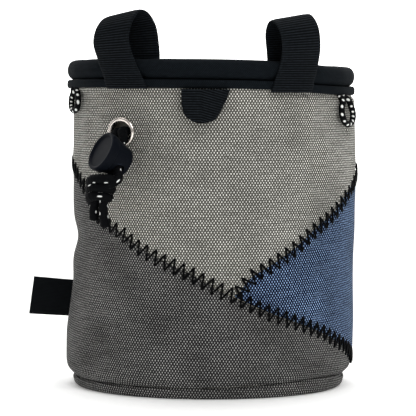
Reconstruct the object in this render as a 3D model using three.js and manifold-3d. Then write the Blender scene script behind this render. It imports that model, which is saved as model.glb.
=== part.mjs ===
// A climbing chalk bag: a patchwork canvas tube on a shallow canvas base, with a padded rim, two belt loops,
// a webbing tab, two brush loops, a side label, and a drawstring with a sprung cord lock.
// Millimetres. The front faces -Y, +X is to the right of the front and +Z is up. The origin is the middle of
// the flat underside. Angles are measured in degrees round +Z from the front, positive towards +X.

import * as THREE from 'three';
import * as BufferGeometryUtils from 'three/addons/utils/BufferGeometryUtils.js';
import Module from 'manifold-3d';

const wasm = await Module();
wasm.setup();

// Body
const BODY_HEIGHT = 141.4;      // floor to the rim's top at the front
const BODY_RADIUS = 61.5;       // outer face of the canvas tube
const CLOTH = 2.0;              // canvas with its backing
const COLLAR_RUN = 5;           // height over which the canvas draws in to go under the binding
const GAP = 0.3;                // between pieces that touch
const BASE_INSET = 0.8;         // the base's lip sits this far inside the wall's lower edge
const BASE_ROUND = 3.0;         // round between the underside and the lip
const BASE_FILLET = 1.0;        // slope between the lip and the floor of the bag

// Rim, its binding and the channel that the drawstring runs in
const RIM_OVERHANG = 1.3;       // rim and binding stand out past the canvas
const RIM_HEIGHT = 8.5;
const RIM_THICKNESS = 7.0;
const RIM_SQUARENESS = 0.72;    // of its section: 1 is an ellipse and 0 a rectangle
const BINDING_HEIGHT = 3.3;
const BINDING_TAPE = 1.1;
const CASING_HEIGHT = 27;
const CASING_DEPTH = 5.4;       // radial thickness at the middle of its height
const CASING_EDGE = 1.4;        // radial thickness at its sewn edges
const CASING_CLEARANCE = 0.6;   // to the canvas round it

// Webbing: belt loops and front tab
const WEBBING_WIDTH = 20;
const WEBBING_THICKNESS = 1.5;
const LOOP_RISE = 18.4;         // rim top to the middle of the webbing at the top of a loop
const LOOP_LAP = 12.6;          // rim top down to the ends of a loop
const LOOP_BULGE = 1.2;         // how far each strand bows away from the rim above it
const LOOP_LEFT_ANGLE = -36.3;
const LOOP_RIGHT_ANGLE = 35.0;
const TAB_ANGLE = -2.1;
const TAB_WIDTH = 19.2;
const TAB_DROP = 14.0;
const TAB_THICKNESS = 2.8;      // two layers of webbing

// Label in the left side seam
const LABEL_ANGLE = -92;
const LABEL_LENGTH = 17.6;
const LABEL_HEIGHT = 16.0;
const LABEL_THICKNESS = 1.4;
const LABEL_BOTTOM = 30.5;
const LABEL_TILT = 1.9;         // rise of the free edge over the sewn edge

// Eyelet and drawstring
const EYELET_ANGLE = -37.9;
const EYELET_DROP = 30.2;       // its middle below the rim's top at the front
const EYELET_CLEARANCE = 0.25;  // round the two strands
const EYELET_RING = 1.8;        // width of the ring round the hole
const EYELET_TUBE_WALL = 0.5;
const EYELET_FLANGE = 1.1;
const EYELET_BACK_FLANGE = 0.6;
const CORD = 3.8;
const STRAND_GAP = 0.2;         // between the drawstring's two strands
const POCKET_DEPTH = 6.1;       // the channel's opening behind the eyelet, from the canvas face
const KNOT_LENGTH = 14.4;
const KNOT_DEPTH = 10.0;
const KNOT_HEIGHT = 9.4;

// Cord lock
const LOCK_BUTTON_DIAMETER = 17.0;
const LOCK_BUTTON_THICKNESS = 2.0;
const LOCK_BUTTON_DISH = 0.7;
const LOCK_BUTTON_RIM = 1.6;
const LOCK_BUTTON_ROUND = 0.5;
const LOCK_TRAVEL = 1.6;        // how far the button presses in
const LOCK_BODY_LENGTH = 9.0;
const LOCK_BODY_WALL = 1.75;    // round the bore at the button's end
const LOCK_BODY_TAPER = 2.0;    // narrower at the far end, on the diameter
const LOCK_BODY_BELLY = 0.4;    // stands out at the middle past a straight taper from the far end
const LOCK_BODY_ROUND = 1.6;    // at the far end
const LOCK_BODY_COLLAR = 1.2;   // straight length at the button's end
const LOCK_STEM_WALL = 1.2;     // at each side of the strands' slot
const LOCK_CLEARANCE = 0.3;
const LOCK_END_WALL = 1.6;
const LOCK_SLOT_CLEARANCE = 0.35;

// Brush loops
const BRUSH_CORD = 2.6;
const BRUSH_RIGHT_ANGLE = 65.0;
const BRUSH_LEFT_ANGLE = -70.8;
const BRUSH_RIGHT_DROP = 11.6;  // binding to the middle of the cord at the bottom
const BRUSH_LEFT_DROP = 8.9;

// Side seams between the front patchwork and the back
const SEAM_LEFT_ANGLE = -92;
const SEAM_RIGHT_ANGLE = 92;

// Outer radius of the canvas, as shares of the body's radius, at shares of its height.
const OUTLINE = [
  { height: 0.030, left: 0.995, right: 0.955, front: 0.985, back: 0.985 },
  { height: 0.060, left: 1.030, right: 0.990, front: 1.000, back: 1.000 },
  { height: 0.100, left: 1.036, right: 1.013, front: 1.004, back: 1.004 },
  { height: 0.170, left: 1.033, right: 1.018, front: 1.006, back: 1.008 },
  { height: 0.260, left: 1.007, right: 1.020, front: 1.003, back: 1.006 },
  { height: 0.330, left: 0.986, right: 1.018, front: 1.000, back: 1.003 },
  { height: 0.460, left: 0.985, right: 1.022, front: 1.000, back: 1.000 },
  { height: 0.660, left: 0.983, right: 1.036, front: 1.000, back: 1.000 },
  { height: 0.800, left: 0.977, right: 1.028, front: 1.000, back: 1.000 },
  { height: 0.895, left: 0.977, right: 1.022, front: 0.998, back: 0.998 },
];

// Dents and folds: where they are, how far they reach each way, and their depth as a share of the radius.
const FOLDS = [
  { name: 'left dent', angle: -90, height: 0.461, spread: 24, reach: 0.050, depth: -0.040 },
  { name: 'ridge below the dent', angle: -78, height: 0.395, spread: 16, reach: 0.040, depth: 0.008 },
  { name: 'left upright fold', angle: -60, height: 0.800, spread: 5, reach: 0.110, depth: 0.009 },
  { name: 'hollow beside the fold', angle: -68, height: 0.790, spread: 5, reach: 0.110, depth: -0.008 },
  { name: 'crease under the right brush loop', angle: 64, height: 0.785, spread: 5, reach: 0.050, depth: -0.012 },
  { name: 'right tuck', angle: 76, height: 0.100, spread: 12, reach: 0.050, depth: -0.008 },
  { name: 'back left sag', angle: -140, height: 0.450, spread: 20, reach: 0.120, depth: -0.012 },
  { name: 'back right sag', angle: 150, height: 0.520, spread: 18, reach: 0.140, depth: -0.010 },
];

// Heights as shares of the body's height, round the bag.
const RIM_LINE = [
  { angle: -180, height: 0.998 },
  { angle: -110, height: 1.000 },
  { angle: -50, height: 1.003 },
  { angle: 0, height: 1.000 },
  { angle: 25, height: 0.996 },
  { angle: 50, height: 0.984 },
  { angle: 80, height: 0.980 },
  { angle: 120, height: 0.988 },
  { angle: 180, height: 0.998 },
];
const BASE_SEAM = [
  { angle: -180, height: 0.036 },
  { angle: -90, height: 0.033 },
  { angle: -45, height: 0.035 },
  { angle: 0, height: 0.036 },
  { angle: 38, height: 0.046 },
  { angle: 55, height: 0.048 },
  { angle: 90, height: 0.035 },
  { angle: 180, height: 0.036 },
];
// The zigzag seam over the dark canvas, and the one between the light canvas and the blue.
const DARK_SEAM = [
  { angle: -92, height: 0.690 },
  { angle: -75, height: 0.666 },
  { angle: -60, height: 0.603 },
  { angle: -52, height: 0.536 },
  { angle: -39, height: 0.490 },
  { angle: -32, height: 0.457 },
  { angle: -20, height: 0.410 },
  { angle: -7, height: 0.366 },
  { angle: 5, height: 0.318 },
  { angle: 22.5, height: 0.257 },
  { angle: 34, height: 0.226 },
  { angle: 49, height: 0.186 },
  { angle: 65, height: 0.140 },
  { angle: 92, height: 0.084 },
];
const BLUE_SEAM = [
  { angle: 8.5, height: 0.306 },
  { angle: 16, height: 0.360 },
  { angle: 24, height: 0.394 },
  { angle: 34, height: 0.438 },
  { angle: 45, height: 0.494 },
  { angle: 58, height: 0.547 },
  { angle: 69, height: 0.600 },
  { angle: 92, height: 0.664 },
];

// A belt loop from its outer end over the top to its inner end. Side is 1 on the outer face of the rim and -1
// on the inner face, bow and rise are shares of the bulge and of the rise above the rim (below it, of the lap).
const LOOP_PATH = [
  { side: 1.00, bow: 0.0, rise: -1.00, left: 3.4, right: -3.4, tilt: 0 },
  { side: 1.00, bow: 0.0, rise: -0.50, left: 0.8, right: -1.2, tilt: 0 },
  { side: 1.00, bow: 0.0, rise: 0.00, left: -1.7, right: 0.7, tilt: 1 },
  { side: 1.00, bow: 1.0, rise: 0.40, left: -2.8, right: 0.4, tilt: 3 },
  { side: 0.92, bow: 1.0, rise: 0.74, left: -2.7, right: -0.4, tilt: 7 },
  { side: 0.50, bow: 0.0, rise: 0.96, left: -2.0, right: -1.0, tilt: 9 },
  { side: 0.00, bow: 0.0, rise: 1.00, left: -1.6, right: -1.2, tilt: 9 },
  { side: -0.55, bow: 0.0, rise: 0.94, left: -0.6, right: -0.8, tilt: 8 },
  { side: -0.95, bow: 1.0, rise: 0.70, left: 0.6, right: 0.2, tilt: 5 },
  { side: -1.00, bow: 1.0, rise: 0.36, left: 1.4, right: 0.8, tilt: 2 },
  { side: -1.00, bow: 0.0, rise: 0.00, left: 1.7, right: 0.8, tilt: 0 },
  { side: -1.00, bow: 0.0, rise: -0.50, left: 1.7, right: 0.8, tilt: 0 },
  { side: -1.00, bow: 0.0, rise: -0.92, left: 1.7, right: 0.8, tilt: 0 },
];

// Lower edge of the front tab: share of its width across, share of its drop.
const TAB_EDGE = [
  { across: 0.00, drop: 0.48 },
  { across: 0.05, drop: 0.72 },
  { across: 0.18, drop: 0.90 },
  { across: 0.32, drop: 0.99 },
  { across: 0.46, drop: 1.00 },
  { across: 0.60, drop: 0.96 },
  { across: 0.72, drop: 0.86 },
  { across: 0.82, drop: 0.62 },
  { across: 0.93, drop: 0.32 },
  { across: 1.00, drop: 0.06 },
];

// Routes chosen by hand, from the eyelet's middle on the canvas: sideways, outwards and up.
const DRAWSTRING_ROUTE = [
  [0.0, -5.7, 0.0],
  [0.0, -2.6, 0.0],
  [0.0, 0.9, 0.0],
  [0.8, 2.9, -1.0],
  [3.0, 4.2, -3.6],
];
const LOCK_MIDDLE = [6.45, 9.3, -12.1];
const DRAWSTRING_AFTER_LOCK = [
  [9.4, 15.3, -19.6],
  [8.0, 16.9, -21.5],
  [5.0, 17.2, -22.4],
];
const KNOT_MIDDLE = [4.0, 17.2, -22.4];
const TAIL_ROUTES = {
  drawstring_tail_left: [
    [2.6, 17.4, -24.2],
    [0.2, 17.6, -28.0],
    [-1.1, 17.0, -32.0],
    [-1.6, 16.4, -35.6],
  ],
  drawstring_tail_right: [
    [5.4, 17.2, -24.4],
    [5.0, 16.8, -29.0],
    [4.7, 15.8, -34.0],
    [4.5, 15.0, -38.0],
  ],
};
// A brush loop from its middle under the binding: degrees sideways, share of its drop, distance out from the
// canvas.
const BRUSH_ROUTE = [
  [-2.3, 0.00, 1.8],
  [-2.7, 0.15, 1.8],
  [-4.4, 0.43, 2.0],
  [-4.3, 0.71, 2.2],
  [-2.2, 0.92, 2.4],
  [0.9, 1.00, 2.5],
  [3.9, 0.89, 2.5],
  [5.1, 0.66, 2.3],
  [4.3, 0.40, 2.1],
  [2.6, 0.15, 1.8],
  [2.3, 0.00, 1.8],
];
// The way that the lock's button faces, and the way that the cord runs through the lock.
const LOCK_AXIS = new THREE.Vector3(-0.775, -0.44, 0.455).normalize();
const CORD_HEADING = new THREE.Vector3(-0.05, -0.62, -0.78);

// Worked-out sizes
const BINDING_OUTER = BODY_RADIUS + RIM_OVERHANG;
const COLLAR_RADIUS = BINDING_OUTER - BINDING_TAPE - GAP;
const RIM_MIDDLE = BINDING_OUTER - RIM_THICKNESS / 2;
const STRAND_SPACING = CORD + STRAND_GAP;
const EYELET_HEIGHT = BODY_HEIGHT - EYELET_DROP;
const EYELET_HOLE = STRAND_SPACING + CORD + 2 * EYELET_CLEARANCE;
const EYELET_OUTER = EYELET_HOLE + 2 * EYELET_RING;
const EYELET_TUBE = EYELET_HOLE / 2 + EYELET_TUBE_WALL;
const POCKET_RADIUS = EYELET_OUTER / 2 + GAP;
const LOCK_SLOT_WIDTH = STRAND_SPACING + CORD + 2 * LOCK_SLOT_CLEARANCE;
const LOCK_STEM_DIAMETER = LOCK_SLOT_WIDTH + 2 * LOCK_STEM_WALL;
const LOCK_BORE = LOCK_STEM_DIAMETER / 2 + LOCK_CLEARANCE;
const LOCK_BODY_DIAMETER = 2 * (LOCK_BORE + LOCK_BODY_WALL);
const LOCK_END_RADIUS = (LOCK_BODY_DIAMETER - LOCK_BODY_TAPER) / 2;
const LOCK_NECK = LOCK_TRAVEL + GAP;
const LOCK_STEM_LENGTH = LOCK_BODY_LENGTH - LOCK_END_WALL - GAP;

// Curve through a table's rows, level at its ends or closed round the bag.
function along(rows, key, column, at) {
  const last = rows.length - 1;
  if (at <= rows[0][key]) return rows[0][column];
  if (at >= rows[last][key]) return rows[last][column];
  let i = 0;
  while (at > rows[i + 1][key]) i += 1;
  const slope = (j) => {
    if (j <= 0 || j >= last) return 0;
    return (rows[j + 1][column] - rows[j - 1][column]) / (rows[j + 1][key] - rows[j - 1][key]);
  };
  const span = rows[i + 1][key] - rows[i][key];
  const t = (at - rows[i][key]) / span;
  const t2 = t * t;
  const t3 = t2 * t;
  return (2 * t3 - 3 * t2 + 1) * rows[i][column] + (t3 - 2 * t2 + t) * span * slope(i)
    + (3 * t2 - 2 * t3) * rows[i + 1][column] + (t3 - t2) * span * slope(i + 1);
}

const wrap = (angle) => angle - 360 * Math.round(angle / 360);
const smooth = (from, to, at) => THREE.MathUtils.smoothstep(at, from, to);
const rimTop = (angle) => BODY_HEIGHT * along(RIM_LINE, 'angle', 'height', wrap(angle));
const bindingTop = (angle) => rimTop(angle) - RIM_HEIGHT - GAP;
const bindingBottom = (angle) => bindingTop(angle) - BINDING_HEIGHT;
const wallTop = (angle) => bindingTop(angle) - BINDING_TAPE - GAP;
const baseSeam = (angle) => BODY_HEIGHT * along(BASE_SEAM, 'angle', 'height', wrap(angle));

// Outer face of the canvas.
function bodyRadius(angle, z) {
  const turn = THREE.MathUtils.degToRad(wrap(angle));
  const height = z / BODY_HEIGHT;
  const side = along(OUTLINE, 'height', turn < 0 ? 'left' : 'right', height);
  const face = along(OUTLINE, 'height', Math.cos(turn) > 0 ? 'front' : 'back', height);
  let share = side * Math.sin(turn) ** 2 + face * Math.cos(turn) ** 2;
  for (const fold of FOLDS) {
    const sideways = wrap(angle - fold.angle) / fold.spread;
    const upwards = (height - fold.height) / fold.reach;
    share += fold.depth * Math.exp(-sideways * sideways - upwards * upwards);
  }
  const collar = smooth(bindingBottom(angle) - COLLAR_RUN, bindingBottom(angle) - GAP, z);
  return THREE.MathUtils.lerp(share * BODY_RADIUS, COLLAR_RADIUS, collar);
}

function place(angle, radius, z) {
  const turn = THREE.MathUtils.degToRad(angle);
  return new THREE.Vector3(radius * Math.sin(turn), -radius * Math.cos(turn), z);
}

// Closed geometry from a grid of loops: each loop is a closed section, and the first and last are capped,
// unless the grid closes on itself.
function loft(loops, closed) {
  const count = loops[0].length;
  const positions = [];
  const triangles = [];
  for (const loop of loops) for (const p of loop) positions.push(p.x, p.y, p.z);
  const steps = closed ? loops.length : loops.length - 1;
  for (let i = 0; i < steps; i += 1) {
    const here = i * count;
    const next = ((i + 1) % loops.length) * count;
    for (let j = 0; j < count; j += 1) {
      const k = (j + 1) % count;
      triangles.push(here + j, next + j, next + k, here + j, next + k, here + k);
    }
  }
  if (!closed) {
    const end = (loops.length - 1) * count;
    const half = count / 2;
    for (let j = 0; j < half - 1; j += 1) {
      const a = j;
      const b = j + 1;
      const c = count - 2 - j;
      const d = count - 1 - j;
      triangles.push(a, b, c, a, c, d);
      triangles.push(end + a, end + c, end + b, end + a, end + d, end + c);
    }
  }
  return geometryOf(positions, triangles);
}

// A closed geometry with its faces pointing out.
function geometryOf(positions, triangles) {
  const geometry = new THREE.BufferGeometry();
  geometry.setAttribute('position', new THREE.Float32BufferAttribute(positions, 3));
  let volume = 0;
  const corner = (i) => new THREE.Vector3(positions[3 * i], positions[3 * i + 1], positions[3 * i + 2]);
  for (let i = 0; i < triangles.length; i += 3) {
    const [a, b, c] = [corner(triangles[i]), corner(triangles[i + 1]), corner(triangles[i + 2])];
    volume += a.dot(b.cross(c));
  }
  if (volume < 0) triangles.reverse();
  geometry.setIndex(triangles);
  return geometry;
}

// Angles from one side to the other in equal steps.
const spread = (from, to, columns) => Array.from({ length: columns + 1 }, (_, i) => from + ((to - from) * i) / columns);

// Heights of a wall's rows. One that goes under the binding has rows where it draws in.
function rowHeights(angle, low, high, rows) {
  const edge = bindingBottom(angle);
  if (high <= edge) return spread(low, high, rows);
  return [...spread(low, edge - COLLAR_RUN, rows - 3), edge - COLLAR_RUN / 2, edge - GAP, high];
}

// A wall of cloth between two heights: one loop at each angle, up the outer face and down the inner face.
function wall({ angles, rows, bottom, top, thickness, offset = 0 }) {
  const loops = [];
  for (const angle of angles) {
    const outer = [];
    const inner = [];
    for (const z of rowHeights(angle, bottom(angle), top(angle), rows)) {
      const radius = bodyRadius(angle, z) + offset;
      outer.push(place(angle, radius, z));
      inner.push(place(angle, radius - thickness, z));
    }
    loops.push([...outer, ...inner.reverse()]);
  }
  return loft(loops, false);
}

// A ring round the bag from its section at each angle, a list of radii and heights.
function ring(sectionAt, segments) {
  const loops = [];
  for (let i = 0; i < segments; i += 1) {
    const angle = -180 + (360 * i) / segments;
    loops.push(sectionAt(angle).map(([radius, z]) => place(angle, radius, z)));
  }
  return loft(loops, true);
}

// A round cord along chosen points.
function cordTube(points, diameter, sides, steps) {
  const section = new THREE.Shape();
  for (let i = 0; i < sides; i += 1) {
    const turn = (2 * Math.PI * i) / sides;
    const x = (diameter / 2) * Math.cos(turn);
    const y = (diameter / 2) * Math.sin(turn);
    if (i === 0) section.moveTo(x, y);
    else section.lineTo(x, y);
  }
  section.closePath();
  const path = new THREE.CatmullRomCurve3(points, false, 'centripetal');
  return new THREE.ExtrudeGeometry(section, { steps, bevelEnabled: false, extrudePath: path });
}

// A turned piece about +Z from a closed profile of radii and heights.
function turned(profile, segments) {
  const points = profile.map(([radius, z]) => new THREE.Vector2(radius, z));
  points.push(points[0].clone());
  const geometry = new THREE.LatheGeometry(points, segments);
  return geometry.rotateX(Math.PI / 2);
}

// Booleans
function solid(geometry) {
  const plain = geometry.index ? geometry.clone() : BufferGeometryUtils.mergeVertices(geometry, 1e-4);
  for (const name of Object.keys(plain.attributes)) if (name !== 'position') plain.deleteAttribute(name);
  const merged = BufferGeometryUtils.mergeVertices(plain, 1e-4);
  const vertProperties = new Float32Array(merged.attributes.position.array);
  const triVerts = new Uint32Array(merged.index.array);
  const made = new wasm.Manifold(new wasm.Mesh({ numProp: 3, vertProperties, triVerts }));
  if (made.volume() >= 0) return made;
  const flipped = new Uint32Array(triVerts).reverse();
  return new wasm.Manifold(new wasm.Mesh({ numProp: 3, vertProperties, triVerts: flipped }));
}

function geometryFrom(manifold) {
  const mesh = manifold.getMesh();
  const geometry = new THREE.BufferGeometry();
  geometry.setAttribute('position', new THREE.BufferAttribute(new Float32Array(mesh.vertProperties), 3));
  geometry.setIndex(new THREE.BufferAttribute(new Uint32Array(mesh.triVerts), 1));
  return geometry;
}

const cut = (geometry, ...tools) => {
  let made = solid(geometry);
  for (const tool of tools) made = made.subtract(solid(tool));
  return geometryFrom(made);
};

// Finishes
const finish = (color, roughness, metalness) => new THREE.MeshStandardMaterial({ color, roughness, metalness });
const lightCanvas = () => finish('#8f8e88', 0.95, 0);
const darkCanvas = () => finish('#565554', 0.95, 0);
const blueCanvas = () => finish('#3d5880', 0.95, 0);
const blackTwill = () => finish('#15191b', 0.85, 0);
const blackWebbing = () => finish('#14181a', 0.8, 0);
const blackCord = () => finish('#111416', 0.8, 0);
const lockPlastic = () => finish('#24282c', 0.45, 0);
const nickel = () => finish('#c9c5bd', 0.25, 1);
const liningFleece = () => finish('#b9b7ae', 1, 0);

const bag = new THREE.Group();
function add(name, geometry, material, parent = bag) {
  const mesh = new THREE.Mesh(geometry, material);
  mesh.name = name;
  parent.add(mesh);
  return mesh;
}

// Patchwork front and plain back
const darkSeam = (angle) => BODY_HEIGHT * along(DARK_SEAM, 'angle', 'height', angle);
const blueSeam = (angle) => BODY_HEIGHT * along(BLUE_SEAM, 'angle', 'height', angle);
const JUNCTION = BLUE_SEAM[0].angle;
const halfGapAngle = THREE.MathUtils.radToDeg(GAP / 2 / BODY_RADIUS);
const BLUE_START = JUNCTION + 1.0;
// The three front panels share their columns, so that their edges run side by side.
const FRONT_COLUMNS_LEFT = 24;
const FRONT_COLUMNS_RIGHT = 18;
const blueAngles = spread(BLUE_START, SEAM_RIGHT_ANGLE - halfGapAngle, FRONT_COLUMNS_RIGHT);
const frontAngles = [...spread(SEAM_LEFT_ANGLE + halfGapAngle, JUNCTION, FRONT_COLUMNS_LEFT), ...blueAngles];
// Height of the light canvas's lower edge: the dark seam up to the junction, then the blue seam.
const lightBottom = (angle) => (angle < JUNCTION ? darkSeam(angle) : Math.max(darkSeam(angle), blueSeam(angle)));

// The eyelet's own frame
const eyeletOut = place(EYELET_ANGLE, 1, 0);
const eyeletSide = new THREE.Vector3(-eyeletOut.y, eyeletOut.x, 0);
const eyeletMiddle = place(EYELET_ANGLE, bodyRadius(EYELET_ANGLE, EYELET_HEIGHT), EYELET_HEIGHT);
const fromEyelet = ([side, out, up]) => eyeletMiddle.clone()
  .addScaledVector(eyeletSide, side).addScaledVector(eyeletOut, out).add(new THREE.Vector3(0, 0, up));
const outwards = new THREE.Quaternion().setFromUnitVectors(new THREE.Vector3(0, 0, 1), eyeletOut);

// A round cutter along the eyelet's axis between two depths, positive outwards.
function eyeletCutter(radius, from, to) {
  const cutter = turned([[0, from], [radius, from], [radius, to], [0, to]], 32);
  return cutter.applyQuaternion(outwards).translate(...eyeletMiddle.toArray());
}

add('panel_light', cut(
  wall({ angles: frontAngles, rows: 8, thickness: CLOTH,
    bottom: (angle) => lightBottom(angle) + GAP / 2, top: wallTop }),
  eyeletCutter(EYELET_TUBE + GAP, -3 * CLOTH, 3 * CLOTH),
), lightCanvas());
add('panel_dark', wall({ angles: frontAngles, rows: 6, thickness: CLOTH,
  bottom: baseSeam, top: (angle) => darkSeam(angle) - GAP / 2 }), darkCanvas());
add('panel_blue', wall({ angles: blueAngles, rows: 6, thickness: CLOTH,
  bottom: (angle) => darkSeam(angle) + GAP / 2, top: (angle) => blueSeam(angle) - GAP / 2 }), blueCanvas());
const backAngles = spread(SEAM_RIGHT_ANGLE + halfGapAngle, 360 + SEAM_LEFT_ANGLE - halfGapAngle, 32);
add('panel_back', wall({ angles: backAngles, rows: 10, thickness: CLOTH, bottom: baseSeam, top: wallTop }), darkCanvas());

// Base: a shallow dish with a flat underside
const BASE_SEGMENTS = 60;
function baseSection(angle) {
  const top = baseSeam(angle) - GAP;
  const lip = bodyRadius(angle, top + GAP) - BASE_INSET;
  const outer = [[lip - BASE_ROUND, 0]];
  for (const turn of [30, 60]) {
    const rad = THREE.MathUtils.degToRad(turn);
    outer.push([lip - BASE_ROUND * (1 - Math.sin(rad)), BASE_ROUND * (1 - Math.cos(rad))]);
  }
  outer.push([lip, BASE_ROUND], [lip, top]);
  return [...outer, [lip - CLOTH, top], [lip - CLOTH - BASE_FILLET, CLOTH]];
}
function baseDish() {
  const positions = [0, 0, 0, 0, 0, CLOTH];
  const triangles = [];
  const count = baseSection(0).length;
  for (let i = 0; i < BASE_SEGMENTS; i += 1) {
    const angle = (360 * i) / BASE_SEGMENTS;
    for (const [radius, z] of baseSection(angle)) positions.push(...place(angle, radius, z).toArray());
    const here = 2 + i * count;
    const next = 2 + ((i + 1) % BASE_SEGMENTS) * count;
    triangles.push(0, next, here);
    for (let j = 0; j < count - 1; j += 1) {
      triangles.push(here + j, next + j, next + j + 1, here + j, next + j + 1, here + j + 1);
    }
    triangles.push(1, here + count - 1, next + count - 1);
  }
  return geometryOf(positions, triangles);
}
add('base_panel', baseDish(), darkCanvas());

// Rim: a padded roll with a rounded section
const RIM_SEGMENTS = 54;
const RIM_SIDES = 10;
add('rim_band', ring((angle) => {
  const middle = rimTop(angle) - RIM_HEIGHT / 2;
  const section = [];
  for (let i = 0; i < RIM_SIDES; i += 1) {
    const turn = (2 * Math.PI * (i + 0.5)) / RIM_SIDES;
    const round = (value) => Math.sign(value) * Math.abs(value) ** RIM_SQUARENESS;
    const radius = RIM_MIDDLE + (RIM_THICKNESS / 2) * round(Math.cos(turn));
    section.push([radius, middle + (RIM_HEIGHT / 2) * round(Math.sin(turn))]);
  }
  return section;
}, RIM_SEGMENTS), blackTwill());

// Binding: a folded tape over the top edge of the canvas
add('rim_binding', ring((angle) => {
  const top = bindingTop(angle);
  const bottom = bindingBottom(angle);
  const web = top - BINDING_TAPE;
  const outerLeg = BINDING_OUTER - BINDING_TAPE;
  const innerLeg = COLLAR_RADIUS - CLOTH - GAP;
  return [[BINDING_OUTER, bottom], [BINDING_OUTER, top], [innerLeg - BINDING_TAPE, top],
    [innerLeg - BINDING_TAPE, bottom], [innerLeg, bottom], [innerLeg, web], [outerLeg, web], [outerLeg, bottom]];
}, RIM_SEGMENTS), blackTwill());

// Drawstring casing: a channel of lining cloth inside the wall, with an opening behind the eyelet
const CASING_ROWS = 4;
add('drawstring_casing', cut(ring((angle) => {
  const top = bindingBottom(angle) - GAP;
  const outer = [];
  const inner = [];
  for (let i = 0; i <= CASING_ROWS; i += 1) {
    const t = i / CASING_ROWS;
    const z = top - CASING_HEIGHT * (1 - t);
    const face = bodyRadius(angle, z) - CLOTH - CASING_CLEARANCE;
    const belly = Math.sin(Math.PI * t);
    outer.push([face, z]);
    inner.push([face - CASING_EDGE - (CASING_DEPTH - CASING_EDGE) * belly, z]);
  }
  return [...outer, ...inner.reverse()];
}, RIM_SEGMENTS), eyeletCutter(POCKET_RADIUS, -POCKET_DEPTH, CLOTH)), liningFleece());

// Belt loops: one strip of webbing each, up the outer face of the rim, over, and down its inner face
const STRIP_STEPS = 24;
function beltLoop(angle, leanColumn) {
  const reach = RIM_THICKNESS / 2 + GAP + WEBBING_THICKNESS / 2;
  const rows = LOOP_PATH.map((row, index) => ({ ...row, index }));
  const middles = rows.map((row) => {
    const at = angle + row[leanColumn];
    const rise = row.rise > 0 ? row.rise * LOOP_RISE : row.rise * LOOP_LAP;
    const bow = row.bow * LOOP_BULGE * Math.sign(row.side);
    return place(at, RIM_MIDDLE + row.side * reach + bow, rimTop(angle) + rise);
  });
  const path = new THREE.CatmullRomCurve3(middles, false, 'centripetal');
  const loops = [];
  for (let i = 0; i <= STRIP_STEPS; i += 1) {
    const t = i / STRIP_STEPS;
    const middle = path.getPoint(t);
    const heading = path.getTangent(t);
    const row = t * (rows.length - 1);
    const tilt = THREE.MathUtils.degToRad(along(rows, 'index', 'tilt', row));
    const turn = THREE.MathUtils.degToRad(angle + along(rows, 'index', leanColumn, row));
    const level = new THREE.Vector3(Math.cos(turn), Math.sin(turn), 0);
    const across = level.multiplyScalar(Math.cos(tilt)).add(new THREE.Vector3(0, 0, Math.sin(tilt)));
    const normal = new THREE.Vector3().crossVectors(heading, across).setLength(WEBBING_THICKNESS / 2);
    // The strip follows the rim's curve across its width where it lies against it.
    const onRim = 1 - smooth(0, 0.35, along(rows, 'index', 'rise', row));
    const bend = (share) => onRim * (share * WEBBING_WIDTH / 2) ** 2 / (2 * BINDING_OUTER);
    const inward = new THREE.Vector3(-Math.sin(turn), Math.cos(turn), 0);
    const points = [-1, -0.5, 0, 0.5, 1].map((share) => middle.clone()
      .addScaledVector(across, share * WEBBING_WIDTH / 2).addScaledVector(inward, bend(share)));
    loops.push([...points.map((p) => p.clone().add(normal)), ...points.map((p) => p.clone().sub(normal)).reverse()]);
  }
  return loft(loops, false);
}
add('belt_loop_left', beltLoop(LOOP_LEFT_ANGLE, 'left'), blackWebbing());
add('belt_loop_right', beltLoop(LOOP_RIGHT_ANGLE, 'right'), blackWebbing());

// Front tab, sewn in under the binding
const tabHalf = THREE.MathUtils.radToDeg(TAB_WIDTH / 2 / BODY_RADIUS);
const tabAcross = (angle) => (angle - TAB_ANGLE + tabHalf) / (2 * tabHalf);
add('front_tab', wall({ angles: spread(TAB_ANGLE - tabHalf, TAB_ANGLE + tabHalf, 12), rows: 4,
  thickness: TAB_THICKNESS, offset: TAB_THICKNESS + GAP + RIM_OVERHANG / 2,
  bottom: (angle) => bindingBottom(angle) - GAP - TAB_DROP * along(TAB_EDGE, 'across', 'drop', tabAcross(angle)),
  top: (angle) => bindingBottom(angle) - GAP }), blackWebbing());

// Side label, standing straight out of the left side seam
function sideLabel() {
  const steps = 4;
  const loops = [];
  const out = place(LABEL_ANGLE, 1, 0);
  const side = new THREE.Vector3(-out.y, out.x, 0).multiplyScalar(LABEL_THICKNESS / 2);
  for (let i = 0; i <= steps; i += 1) {
    const t = i / steps;
    const points = [];
    for (let j = 0; j <= steps; j += 1) {
      const z = LABEL_BOTTOM + (LABEL_HEIGHT * j) / steps;
      const root = bodyRadius(LABEL_ANGLE, z) + 2 * GAP;
      points.push(place(LABEL_ANGLE, root + LABEL_LENGTH * t, z + LABEL_TILT * t));
    }
    loops.push([...points.map((p) => p.clone().add(side)), ...points.map((p) => p.clone().sub(side)).reverse()]);
  }
  return loft(loops, false);
}
add('side_label', sideLabel(), blackWebbing());

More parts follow.
